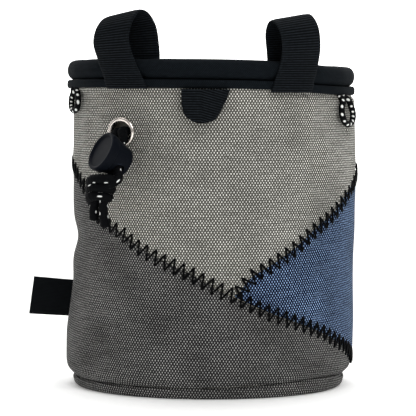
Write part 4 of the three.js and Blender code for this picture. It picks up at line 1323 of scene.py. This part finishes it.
class RimOperator(bpy.types.Operator):
    """Makes the padded rim and the binding under it."""
    bl_idname = "chalk_bag.rim"
    bl_label = "Rim and binding"

    def execute(self, context):
        twill = [Finishes.made["twill"]]
        count = int(360 / RING_STEP)
        rim = loft("rim_roll", round_sections(count, rim_section), twill, True, sharp=60)
        finish_piece(rim, ["rim_band"])
        binding = loft("rim_tape", round_sections(count, binding_section), twill, True)
        finish_piece(binding, ["rim_binding"])
        return {"FINISHED"}


def rim_pull(angle):
    """How far the belt loops pull the padding in, in millimetres."""
    pull = 0.0
    for centre in (LOOP_LEFT_ANGLE, LOOP_RIGHT_ANGLE):
        away = abs(wrap(angle - centre)) * math.radians(1) * RIM_MIDDLE
        pull += RIM_PULL * (1 - smooth(WEBBING_WIDTH / 2, WEBBING_WIDTH / 2 + RIM_PULL_REACH, away))
    return pull


# Ruffles round the casing, their depth, and how far its outer face is let in
RUFFLES = 46
RUFFLE_DEPTH = 0.35
CASING_SEAT = 0.2
CASING_COLUMNS = 300
CASING_ROWS = 24


def casing_section(angle):
    """The channel's section: its face along the canvas and its full, ruffled inner side."""
    top = binding_bottom(angle) - GAP
    outer = []
    inner = []
    for t in spread(0, 1, CASING_ROWS):
        z = top - CASING_HEIGHT * (1 - t)
        face = body_radius(angle, z) - CLOTH - CASING_CLEARANCE
        fullness = CASING_DEPTH - CASING_EDGE - RUFFLE_DEPTH
        fullness += RUFFLE_DEPTH * math.sin(math.radians(angle) * RUFFLES)
        depth = CASING_EDGE + fullness * math.sin(math.pi * t)
        outer.append((face - CASING_SEAT, z))
        inner.append((face - depth, z))
    run = math.radians(angle) * BODY_RADIUS * MM
    return [(place(angle, radius, z), (run, z * MM)) for radius, z in outer + inner[::-1]]


class CasingOperator(bpy.types.Operator):
    """Makes the channel inside the wall that the drawstring runs in."""
    bl_idname = "chalk_bag.casing"
    bl_label = "Drawstring casing"

    def execute(self, context):
        sections = round_sections(CASING_COLUMNS, casing_section)
        casing = loft("drawstring_channel", sections, [Finishes.made["fleece"]], True, sharp=60)
        cut_away(casing, eyelet_cutter(EYELET_OUTER / 2 + GAP, -POCKET_DEPTH, CLOTH))
        finish_piece(casing, ["drawstring_casing"])
        return {"FINISHED"}


# Steps along the webbing for each rib, and the smooth selvedge at each edge
RIB_STEPS = 6
SELVEDGE = 1.1
# The outer end of a belt loop is turned under to here and is thicker by this. Its free stretch is cupped.
LOOP_HEM = 4.0
LOOP_HEM_HEIGHT = 0.5
LOOP_CUP = 0.35
# A strip's ends: how far back they thin, and the share of the thickness that is left. Its selvedge has ribs
# of a lower share, and no part is thinner than the last value.
LOOP_END_RUN = 0.5
LOOP_END_SHARE = 0.6
SELVEDGE_RIBS = 0.3
LOOP_THINNEST = 0.1


def rib(run):
    """Height of the webbing's ribs at a run along it in metres, from 0 to 1."""
    return 0.5 - 0.5 * math.cos(2 * math.pi * run / settings().rib_pitch)


def belt_loop(name, angle, lean):
    """One strip of webbing, up the outer face of the rim, over, and down its inner face."""
    reach = RIM_THICKNESS / 2 + GAP + WEBBING_THICKNESS / 2
    rows = [dict(row, index=i) for i, row in enumerate(LOOP_PATH)]
    middles = []
    for row in rows:
        rise = row["rise"] * (LOOP_RISE if row["rise"] > 0 else LOOP_LAP)
        bow = row["bow"] * LOOP_BULGE * math.copysign(1, row["side"])
        radius = RIM_MIDDLE + row["side"] * reach + bow
        middles.append(place(angle + row[lean], radius, rim_top(angle) + rise))
    step = settings().rib_pitch / RIB_STEPS
    path = smooth_path(middles, step)
    marks = [0]
    for middle in middles[1:]:
        marks.append(min(range(len(path)), key=lambda i: (path[i] - middle).length))
    marks[-1] = len(path) - 1
    across_shares = [-1.0, -0.985, -0.95] + spread(-0.9, 0.9, 10) + [0.95, 0.985, 1.0]
    thin = [0.35, 0.7, 0.92] + [1.0] * 11 + [0.92, 0.7, 0.35]
    sections = []
    total = path_length(path)
    gone = 0.0
    for i, point in enumerate(path):
        if i:
            gone += (point - path[i - 1]).length
        span = max(k for k in range(len(marks) - 1) if marks[k] <= i)
        row = span + (i - marks[span]) / max(marks[span + 1] - marks[span], 1)
        heading = (path[min(i + 1, len(path) - 1)] - path[max(i - 1, 0)]).normalized()
        tilt = math.radians(along(rows, "index", "tilt", row))
        turn = math.radians(angle + along(rows, "index", lean, row))
        level = Vector((math.cos(turn), math.sin(turn), 0))
        across = level * math.cos(tilt) + Vector((0, 0, math.sin(tilt)))
        normal = heading.cross(across).normalized()
        inward = Vector((-math.sin(turn), math.cos(turn), 0))
        on_rim = 1 - smooth(0, 0.35, along(rows, "index", "rise", row))
        hem = LOOP_HEM_HEIGHT * (1 - smooth((LOOP_HEM - 0.5) * MM, (LOOP_HEM + 0.5) * MM, gone))
        end = smooth(0, LOOP_END_RUN * MM, min(gone, total - gone))
        full = LOOP_END_SHARE + (1 - LOOP_END_SHARE) * end
        front = []
        back = []
        for share, thickness in zip(across_shares, thin):
            offset = share * WEBBING_WIDTH / 2
            bend = on_rim * offset ** 2 / (2 * BINDING_OUTER)
            cup = LOOP_CUP * (1 - on_rim) * share * share
            spot = point + (across * offset + inward * (bend + cup)) * MM
            inside = 1 if abs(offset) < WEBBING_WIDTH / 2 - SELVEDGE else SELVEDGE_RIBS
            height = WEBBING_THICKNESS / 2 * MM * thickness * full
            ribbed = settings().rib_height * rib(gone) * inside
            flat = WEBBING_THICKNESS / 2 * MM * thickness - settings().rib_height
            out_face = max(flat, LOOP_THINNEST * MM) + ribbed
            uv = (offset * MM, gone)
            front.append((spot - normal * (out_face + hem * MM) * full, uv))
            back.append((spot + normal * min(out_face, height), uv))
        sections.append(front + back[::-1])
    return loft(name, sections, [Finishes.made["webbing"]], sharp=75), total


class BeltLoopsOperator(bpy.types.Operator):
    """Makes the two belt loops of ribbed webbing."""
    bl_idname = "chalk_bag.belt_loops"
    bl_label = "Belt loops"

    def execute(self, context):
        for side, angle in (("left", LOOP_LEFT_ANGLE), ("right", LOOP_RIGHT_ANGLE)):
            strip, length = belt_loop("webbing_loop_" + side, angle, side)
            finish_piece(strip, ["belt_loop_" + side])
        return {"FINISHED"}


# Where the tab is folded, as a share of its width, what its free edge lacks in thickness, and how its ribs
# slope past the fold
TAB_FOLD = 0.40
TAB_THINNER = 0.9
TAB_RIB_SLOPE = math.tan(math.radians(17))
# The crease of the fold: half its turn's width and its reach as shares of the tab's width, and its depth
TAB_FOLD_TURN = 0.04
TAB_FOLD_REACH = 0.05
TAB_FOLD_DEPTH = 0.35
# The tab's edges are rounded over this run up, this share across, and to this depth.
TAB_EDGE_RUN = 1.2
TAB_EDGE_SHARE = 0.05
TAB_EDGE_DEPTH = 0.7


class FrontTabOperator(bpy.types.Operator):
    """Makes the folded webbing tab in the middle of the front."""
    bl_idname = "chalk_bag.front_tab"
    bl_label = "Front tab"

    def execute(self, context):
        half = math.degrees(TAB_WIDTH / 2 / BODY_RADIUS)

        def across(angle):
            return (angle - TAB_ANGLE + half) / (2 * half)

        def bottom(angle):
            return binding_bottom(angle) - GAP - TAB_DROP * along(TAB_EDGE, "across", "drop", across(angle))

        def run_of(angle, z):
            share = across(angle)
            turned_over = smooth(TAB_FOLD - TAB_FOLD_TURN, TAB_FOLD + TAB_FOLD_TURN, share)
            slope = TAB_RIB_SLOPE * turned_over
            return (z + slope * (share - TAB_FOLD) * TAB_WIDTH) * MM

        def ribs(angle, z, low):
            share = across(angle)
            run = run_of(angle, z)
            edge = smooth(0, TAB_EDGE_RUN, z - low)
            edge *= smooth(0, TAB_EDGE_SHARE, share) * smooth(0, TAB_EDGE_SHARE, 1 - share)
            fold = -TAB_FOLD_DEPTH * math.exp(-((share - TAB_FOLD) / TAB_FOLD_REACH) ** 2)
            rib_height = settings().rib_height / MM
            return (rib_height * rib(run) + fold - rib_height) * edge - TAB_EDGE_DEPTH * (1 - edge)

        angles = spread(TAB_ANGLE - half, TAB_ANGLE + half, 70)
        offset = TAB_THICKNESS + GAP + RIM_OVERHANG / 2
        webbing_finish = Finishes.made["webbing"]
        tab = canvas_wall("webbing_tab", angles, bottom, lambda a: binding_bottom(a) - GAP, 90,
                          webbing_finish, TAB_THICKNESS - TAB_THINNER, offset, False, 75, ribs, run_of)
        tab.data.materials[1] = webbing_finish
        finish_piece(tab, ["front_tab"])
        return {"FINISHED"}


# The label's wave sideways at its free end, in millimetres, and how it turns from the bottom to the top
LABEL_WAVE = 0.5
LABEL_WAVE_TURN = 2.2
LABEL_WAVE_START = 0.4
# Its edges and its fold thin over these shares of its height and its length, down to a share.
LABEL_EDGE = 0.06
LABEL_FOLD = 0.95
LABEL_EDGE_THIN = 0.45
LABEL_FOLD_THIN = 0.3


class SideLabelOperator(bpy.types.Operator):
    """Makes the bare woven tape that stands out of the left side seam."""
    bl_idname = "chalk_bag.side_label"
    bl_label = "Side label"

    def execute(self, context):
        steps = 40
        rows = 36
        out = place(LABEL_ANGLE, 1, 0) / MM
        side = Vector((-out.y, out.x, 0))
        sections = []
        for i in range(steps + 1):
            t = i / steps
            front = []
            back = []
            fold = math.sqrt(max(1 - smooth(LABEL_FOLD, 1.0, t) ** 2, 0.0))
            for j in range(rows + 1):
                z = LABEL_BOTTOM + LABEL_HEIGHT * j / rows
                root = body_radius(LABEL_ANGLE, z) + LABEL_SEAT
                rise = mix(LABEL_LOW_RISE, LABEL_HIGH_RISE, j / rows)
                edge = smooth(0, LABEL_EDGE, j / rows) * smooth(0, LABEL_EDGE, 1 - j / rows)
                wave = LABEL_WAVE * math.sin(math.pi * t)
                wave *= math.sin(LABEL_WAVE_TURN * j / rows + LABEL_WAVE_START) * t
                half = LABEL_TAPE * (LABEL_EDGE_THIN + (1 - LABEL_EDGE_THIN) * edge)
                half *= LABEL_FOLD_THIN + (1 - LABEL_FOLD_THIN) * fold
                middle = place(LABEL_ANGLE, root + LABEL_LENGTH * t, z + rise * t) + side * wave * MM
                uv = (LABEL_LENGTH * t * MM, z * MM)
                front.append((middle + side * half * MM, uv))
                back.append((middle - side * half * MM, uv))
            sections.append(front + back[::-1])
        label = loft("label_tape", sections, [Finishes.made["tape"]], sharp=60)
        finish_piece(label, ["side_label"])
        return {"FINISHED"}


# The ring is broader than its solid by this, its roll starts this far in, and at this angle.
EYELET_BROADER = 0.35
EYELET_LIP = 0.1
EYELET_ROLL_START = 12


class EyeletOperator(bpy.types.Operator):
    """Makes the rolled nickel eyelet."""
    bl_idname = "chalk_bag.eyelet"
    bl_label = "Eyelet"

    def execute(self, context):
        hole = EYELET_HOLE / 2
        outer = EYELET_OUTER / 2 + EYELET_BROADER
        tube = hole + EYELET_TUBE_WALL
        back = -CLOTH - 2 * GAP
        middle = (hole + outer) / 2
        profile = [(hole, back - EYELET_BACK_FLANGE), (outer, back - EYELET_BACK_FLANGE), (outer, back),
                   (tube, back), (tube, GAP), (outer - EYELET_LIP, GAP)]
        profile += [(middle + (outer - middle) * math.cos(turn), GAP + EYELET_FLANGE * math.sin(turn))
                    for turn in spread(math.radians(EYELET_ROLL_START), math.radians(180), 14)]
        turn = Vector((0, 0, 1)).rotation_difference(EYELET_FACE).to_matrix().to_4x4()
        ring = turned("eyelet_ring", profile, [Finishes.made["nickel"]], 96,
                      Matrix.Translation(EYELET_MIDDLE) @ turn)
        finish_piece(ring, ["eyelet"])
        return {"FINISHED"}


SLOT_ROUND = 1.6


def strand_slot(low, high):
    """A cutter for the two strands through the lock, between two heights on its axis."""
    width = (STRAND_SPACING + CORD) / 2 + LOCK_SLOT_CLEARANCE
    build = bmesh.new()
    bmesh.ops.create_cube(build, size=1.0)
    build.transform(Matrix.Diagonal((2 * width * MM, 3 * LOCK_BODY_DIAMETER * MM, (high - low) * MM, 1)))
    along_slot = [edge for edge in build.edges if abs((edge.verts[0].co - edge.verts[1].co).y) > 0.01]
    bmesh.ops.bevel(build, geom=along_slot, offset=min(SLOT_ROUND, (high - low) / 2.2) * MM, segments=6,
                    affect="EDGES", profile=0.5)
    build.transform(Matrix.Translation((0, 0, (high + low) / 2 * MM)))
    build.transform(LOCK_PLACE)
    mesh = bpy.data.meshes.new("slot")
    build.to_mesh(mesh)
    build.free()
    return linked("slot", mesh)


def rounded(corners, radius, steps=5):
    """A profile whose inner corners are rounded by arcs."""
    made = [corners[0]]
    for before, corner, after in zip(corners, corners[1:], corners[2:]):
        a = Vector(before) - Vector(corner)
        b = Vector(after) - Vector(corner)
        cut = min(radius, a.length * 0.45, b.length * 0.45)
        start = Vector(corner) + a.normalized() * cut
        end = Vector(corner) + b.normalized() * cut
        for t in spread(0, 1, steps):
            made.append(tuple(start.lerp(Vector(corner), t).lerp(Vector(corner).lerp(end, t), t)))
    made.append(corners[-1])
    return made


# The barrel's foot and its waist, the height of its two edges, and the rounding of its corners
BARREL_FOOT = 1.0
BARREL_WAIST = 0.4
BARREL_EDGE = 1.4
BARREL_ROUND = 0.7
# The button's skirt stands off the barrel, its lower edge is drawn in, and its face is dished inside a rim.
SKIRT_GAP = 0.35
SKIRT_TAPER = 0.2
BUTTON_RIM = 1.0
BUTTON_DISH = 1.6
BUTTON_DISH_EDGE = 0.8
BUTTON_DISH_MIDDLE = 0.65
BUTTON_ROUND = 0.4


class CordLockOperator(bpy.types.Operator):
    """Makes the cord lock's barrel and its sprung button."""
    bl_idname = "chalk_bag.cord_lock"
    bl_label = "Cord lock"

    def execute(self, context):
        plastic = [Finishes.made["plastic"]]
        top = LOCK_BODY_LENGTH / 2
        end = -top
        bore = LOCK_BORE
        wide = LOCK_BODY_DIAMETER / 2
        narrow = (LOCK_BODY_DIAMETER - LOCK_BODY_TAPER) / 2
        slot = CORD / 2 + LOCK_SLOT_CLEARANCE
        profile = rounded([(0, end), (narrow - BARREL_FOOT, end), (narrow, end + BARREL_EDGE),
                           (narrow + BARREL_WAIST, 0), (wide, top - BARREL_EDGE), (wide, top),
                           (bore, top)], BARREL_ROUND)
        profile += [(bore, end + LOCK_END_WALL), (0, end + LOCK_END_WALL)]
        barrel = turned("lock_barrel", profile, plastic, 96, LOCK_PLACE)
        cut_away(barrel, strand_slot(-slot, slot))
        finish_piece(barrel, ["cord_lock_body"])
        under = top + LOCK_TRAVEL + GAP
        face = under + LOCK_BUTTON_THICKNESS
        edge = LOCK_BUTTON_DIAMETER / 2
        stem = LOCK_STEM_DIAMETER / 2
        stem_end = under - (LOCK_BODY_LENGTH - LOCK_END_WALL - GAP)
        skirt = wide + SKIRT_GAP
        low = under - LOCK_TRAVEL - GAP
        profile = rounded([(0, stem_end), (stem, stem_end), (stem, under), (skirt, under), (skirt, low),
                           (edge - SKIRT_TAPER, low), (edge, under), (edge, face),
                           (edge - BUTTON_RIM, face), (edge - BUTTON_DISH, face - BUTTON_DISH_EDGE),
                           (0, face - BUTTON_DISH_MIDDLE)], BUTTON_ROUND)
        button = turned("lock_push_button", profile, plastic, 96, LOCK_PLACE)
        cut_away(button, strand_slot(-slot, slot + LOCK_TRAVEL))
        finish_piece(button, ["cord_lock_button"], body=BUTTON)
        return {"FINISHED"}


def strand_paths():
    """The two strands' points, from inside the channel through the lock and the knot to their tails."""
    middle = from_eyelet(LOCK_MIDDLE)
    half = LOCK_HEADING * LOCK_BODY_DIAMETER / 2 * MM
    route = [from_eyelet(p) for p in DRAWSTRING_ROUTE] + [middle - half, middle, middle + half]
    route += [from_eyelet(p) for p in DRAWSTRING_AFTER_LOCK]
    like_eyelet = LOCK_ACROSS * math.copysign(1, LOCK_ACROSS.dot(EYELET_SIDE))
    paths = []
    for sign, tail in ((-1, TAIL_LEFT), (1, TAIL_RIGHT)):
        points = []
        for i, point in enumerate(route):
            heading = (route[min(i + 1, len(route) - 1)] - route[max(i - 1, 0)]).normalized()
            across = EYELET_SIDE.lerp(like_eyelet, min(i / len(DRAWSTRING_ROUTE), 1))
            across = (across - heading * across.dot(heading)).normalized()
            points.append(point + across * sign * STRAND_SPACING / 2 * MM)
        points[-1] = from_eyelet(KNOT_MIDDLE).lerp(points[-1], 0.5)
        paths.append(points + [from_eyelet(p) for p in tail])
    return paths


class DrawstringOperator(bpy.types.Operator):
    """Makes the drawstring's two strands with their tails, and the knot that ties them."""
    bl_idname = "chalk_bag.drawstring"
    bl_label = "Drawstring"

    def execute(self, context):
        finish = Finishes.made["cord"]
        centre = from_eyelet(KNOT_MIDDLE)
        knot = knot_piece(centre, finish)
        finish_piece(knot, ["drawstring_knot"])
        for side, points in zip(("left", "right"), strand_paths()):
            path = smooth_path(points, 0.35 * MM)
            strand = cord_piece("cord_strand_" + side, path, CORD * MM, finish)
            finish_piece(strand, ["drawstring_strand_" + side, "drawstring_tail_" + side])
            path_length(path)
        return {"FINISHED"}


# The knot's wraps: turns round the strands, and for each turn its fall, its taper and its drift sideways
KNOT_LENGTH = 15.6
KNOT_DEPTH = 10.4
KNOT_START = -0.3
KNOT_END = 2.62
KNOT_FALL = 3.4
KNOT_TOP = 2.9
KNOT_LIFT = 0.42
KNOT_TAPER = 1.6
KNOT_DRIFT = -0.8
KNOT_CORD = 4.2


def knot_piece(centre, finish):
    """The knot that ties the strands: the cord wrapped round them and pulled tight."""
    points = []
    for turn in spread(KNOT_START, KNOT_END, 150):
        side = math.cos(2 * math.pi * turn) * (KNOT_LENGTH - KNOT_TAPER * turn - KNOT_CORD) / 2
        side += KNOT_DRIFT * turn
        out = math.sin(2 * math.pi * turn) * (KNOT_DEPTH - KNOT_CORD) / 2
        up = KNOT_TOP - KNOT_FALL * turn + KNOT_LIFT * out
        points.append(centre + (EYELET_SIDE * side + EYELET_OUT * out + Vector((0, 0, up))) * MM)
    points.insert(0, centre + Vector((0, 0, KNOT_TOP - 1.0)) * MM)
    points.append(centre + Vector((0, 0, -KNOT_TOP)) * MM)
    return cord_piece("cord_knot", smooth_path(points, 0.35 * MM), KNOT_CORD * MM, finish)


class BrushLoopsOperator(bpy.types.Operator):
    """Makes the brush loops that hang from under the binding."""
    bl_idname = "chalk_bag.brush_loops"
    bl_label = "Brush loops"

    def execute(self, context):
        places = (
            ("left", BRUSH_LEFT_ANGLE, BRUSH_LEFT_DROP),
            ("right", BRUSH_RIGHT_ANGLE, BRUSH_RIGHT_DROP),
        )
        finish = Finishes.made["brush_cord"]
        for side, angle, drop in places:
            points = []
            for sideways, share, out in BRUSH_ROUTE:
                at = angle + sideways
                z = binding_bottom(at) - 2 * GAP - drop * share
                points.append(place(at, body_radius(at, z) + out, z))
            tucked = BINDING_OUTER - BRUSH_CORD / 2 - GAP
            for sideways, end in ((BRUSH_ROUTE[0][0], 0), (BRUSH_ROUTE[-1][0], len(points) + 1)):
                at = angle + sideways
                points.insert(end, place(at, tucked, binding_bottom(at) + BRUSH_TUCK))
            path = smooth_path(points, 0.3 * MM)
            loop = cord_piece("cord_brush_loop_" + side, path, BRUSH_CORD * MM, finish, 24, end_round=0.05,
                              facing=Vector((0, -1, 0)))
            finish_piece(loop, ["brush_loop_" + side])
            path_length(path)
        return {"FINISHED"}


# Points added along each stitch, how far its ends sink into the cloth, and how high it arches
STITCH_CUTS = 7
STITCH_SINK = 0.15
STITCH_LOFT = 0.55


def stitch_tree(name, material):
    """Nodes that sew a zigzag along a line of points, each of which carries the way out of the cloth."""
    tree = bpy.data.node_groups.new(name, "GeometryNodeTree")
    tree.interface.new_socket("Geometry", in_out="INPUT", socket_type="NodeSocketGeometry")
    for label in ("Stitch length", "Stitch width", "Thread", "Loft"):
        tree.interface.new_socket(label, in_out="INPUT", socket_type="NodeSocketFloat")
    tree.interface.new_socket("Geometry", in_out="OUTPUT", socket_type="NodeSocketGeometry")
    given = add(tree, "NodeGroupInput").outputs
    line = add(tree, "GeometryNodeMeshToCurve", {"Mesh": given["Geometry"]})
    half_step = add(tree, "ShaderNodeMath", {0: given["Stitch length"], 1: 0.5}, operation="MULTIPLY")
    even = add(tree, "GeometryNodeResampleCurve", {"Curve": line, "Length": half_step}, mode="LENGTH")
    outward = add(tree, "GeometryNodeInputNamedAttribute", {"Name": "outward"}, data_type="FLOAT_VECTOR")
    heading = add(tree, "GeometryNodeInputTangent")
    sideways = add(tree, "ShaderNodeVectorMath", {0: outward, 1: heading}, operation="CROSS_PRODUCT")
    side_unit = add(tree, "ShaderNodeVectorMath", {0: sideways}, operation="NORMALIZE")
    index = add(tree, "GeometryNodeInputIndex")
    parity = add(tree, "ShaderNodeMath", {0: index, 1: 2.0}, operation="MODULO")
    which = add(tree, "ShaderNodeMath", {0: parity, 1: 0.5}, operation="SUBTRACT")
    reach = add(tree, "ShaderNodeMath", {0: which, 1: given["Stitch width"]}, operation="MULTIPLY")
    swing = add(tree, "ShaderNodeVectorMath", {0: side_unit, "Scale": reach}, operation="SCALE")
    zigzag = add(tree, "GeometryNodeSetPosition", {"Geometry": even, "Offset": swing})
    # Each stitch arches over the cloth and sinks a little into it at its ends.
    fine = add(tree, "GeometryNodeSubdivideCurve", {"Curve": zigzag, "Cuts": STITCH_CUTS})
    along_stitch = add(tree, "ShaderNodeMath", {0: index, 1: float(STITCH_CUTS + 1)}, operation="MODULO")
    share = add(tree, "ShaderNodeMath", {0: along_stitch, 1: math.pi / (STITCH_CUTS + 1)},
                operation="MULTIPLY")
    arch = add(tree, "ShaderNodeMath", {0: share}, operation="SINE")
    root = add(tree, "ShaderNodeMath", {0: arch, 1: 0.3}, operation="POWER")
    lift = add(tree, "ShaderNodeMath", {0: root, 1: given["Loft"], 2: -STITCH_SINK * MM},
               operation="MULTIPLY_ADD")
    raised = add(tree, "ShaderNodeVectorMath", {0: outward, "Scale": lift}, operation="SCALE")
    sewn = add(tree, "GeometryNodeSetPosition", {"Geometry": fine, "Offset": raised})
    radius = add(tree, "ShaderNodeMath", {0: given["Thread"], 1: 0.5}, operation="MULTIPLY")
    section = add(tree, "GeometryNodeCurvePrimitiveCircle", {"Resolution": 8, "Radius": radius})
    thread = add(tree, "GeometryNodeCurveToMesh", {"Curve": sewn, "Profile Curve": section,
                                                   "Fill Caps": True})
    shaded = add(tree, "GeometryNodeSetShadeSmooth", {"Geometry": thread})
    real = add(tree, "GeometryNodeRealizeInstances", {"Geometry": shaded})
    finished = add(tree, "GeometryNodeSetMaterial", {"Geometry": real, "Material": material})
    result = add(tree, "NodeGroupOutput")
    tree.links.new(finished.outputs[0], result.inputs["Geometry"])
    return tree


def sew(name, tree, points, outwards):
    """Runs the stitch nodes along a line of points and gives back a plain mesh."""
    mesh = bpy.data.meshes.new(name)
    mesh.from_pydata(points, [(i, i + 1) for i in range(len(points) - 1)], [])
    layer = mesh.attributes.new("outward", "FLOAT_VECTOR", "POINT")
    layer.data.foreach_set("vector", [value for vector in outwards for value in vector])
    piece = linked(name, mesh)
    modifier = piece.modifiers.new("stitches", "NODES")
    modifier.node_group = tree
    chosen = settings()
    values = {"Stitch length": chosen.stitch_length, "Stitch width": chosen.stitch_width,
              "Thread": chosen.thread, "Loft": STITCH_LOFT * MM}
    for item in tree.interface.items_tree:
        if item.item_type == "SOCKET" and item.in_out == "INPUT" and item.name in values:
            modifier[item.identifier] = values[item.name]
    return bake_modifiers(piece)


class SeamStitchesOperator(bpy.types.Operator):
    """Sews the zigzag stitches over the two seams of the patchwork front."""
    bl_idname = "chalk_bag.seam_stitches"
    bl_label = "Seam stitches"

    def execute(self, context):
        tree = stitch_tree("Zigzag stitches", Finishes.made["thread"])
        seams = (
            ("stitches_dark_seam", dark_seam, SEAM_LEFT_ANGLE + 2, SEAM_RIGHT_ANGLE - 2),
            ("stitches_blue_seam", blue_seam, JUNCTION + 1.5, SEAM_RIGHT_ANGLE - 2),
        )
        for name, seam, start, end in seams:
            points = []
            outwards = []
            for angle in spread(start, end, 240):
                z = seam(angle)
                points.append(place(angle, body_radius(angle, z) - 0.1, z))
                outwards.append(place(angle, 1, 0) / MM)
            piece = sew(name, tree, points, outwards)
            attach(piece, BAG)
        return {"FINISHED"}


class ChalkBagPanel(bpy.types.Panel):
    """Lists the bag's sizes and the operators that make its pieces."""
    bl_idname = "VIEW3D_PT_chalk_bag"
    bl_label = "Chalk Bag"
    bl_space_type = "VIEW_3D"
    bl_region_type = "UI"
    bl_category = "Chalk Bag"

    def draw(self, context):
        for name in ChalkBagSettings.__annotations__:
            self.layout.prop(context.scene.chalk_bag, name)
        for operator in OPERATORS:
            self.layout.operator(operator.bl_idname)


OPERATORS = (
    StageOperator,
    BrushLoopsOperator,
    DrawstringOperator,
    FrontPanelsOperator,
    BackPanelOperator,
    BaseOperator,
    RimOperator,
    CasingOperator,
    BeltLoopsOperator,
    FrontTabOperator,
    SideLabelOperator,
    EyeletOperator,
    CordLockOperator,
    SeamStitchesOperator,
)


def register():
    """Registers the add-on's classes and its settings."""
    for kind in (ChalkBagSettings, *OPERATORS, ChalkBagPanel):
        bpy.utils.register_class(kind)
    bpy.types.Scene.chalk_bag = PointerProperty(type=ChalkBagSettings)


def unregister():
    """Takes the add-on's classes and settings away again."""
    del bpy.types.Scene.chalk_bag
    for kind in reversed((ChalkBagSettings, *OPERATORS, ChalkBagPanel)):
        bpy.utils.unregister_class(kind)


def main():
    """Makes the whole bag."""
    register()
    make_finishes()
    for operator in OPERATORS:
        group, name = operator.bl_idname.split(".")
        getattr(getattr(bpy.ops, group), name)()
    bpy.context.view_layer.update()


if __name__ == "__main__":
    main()
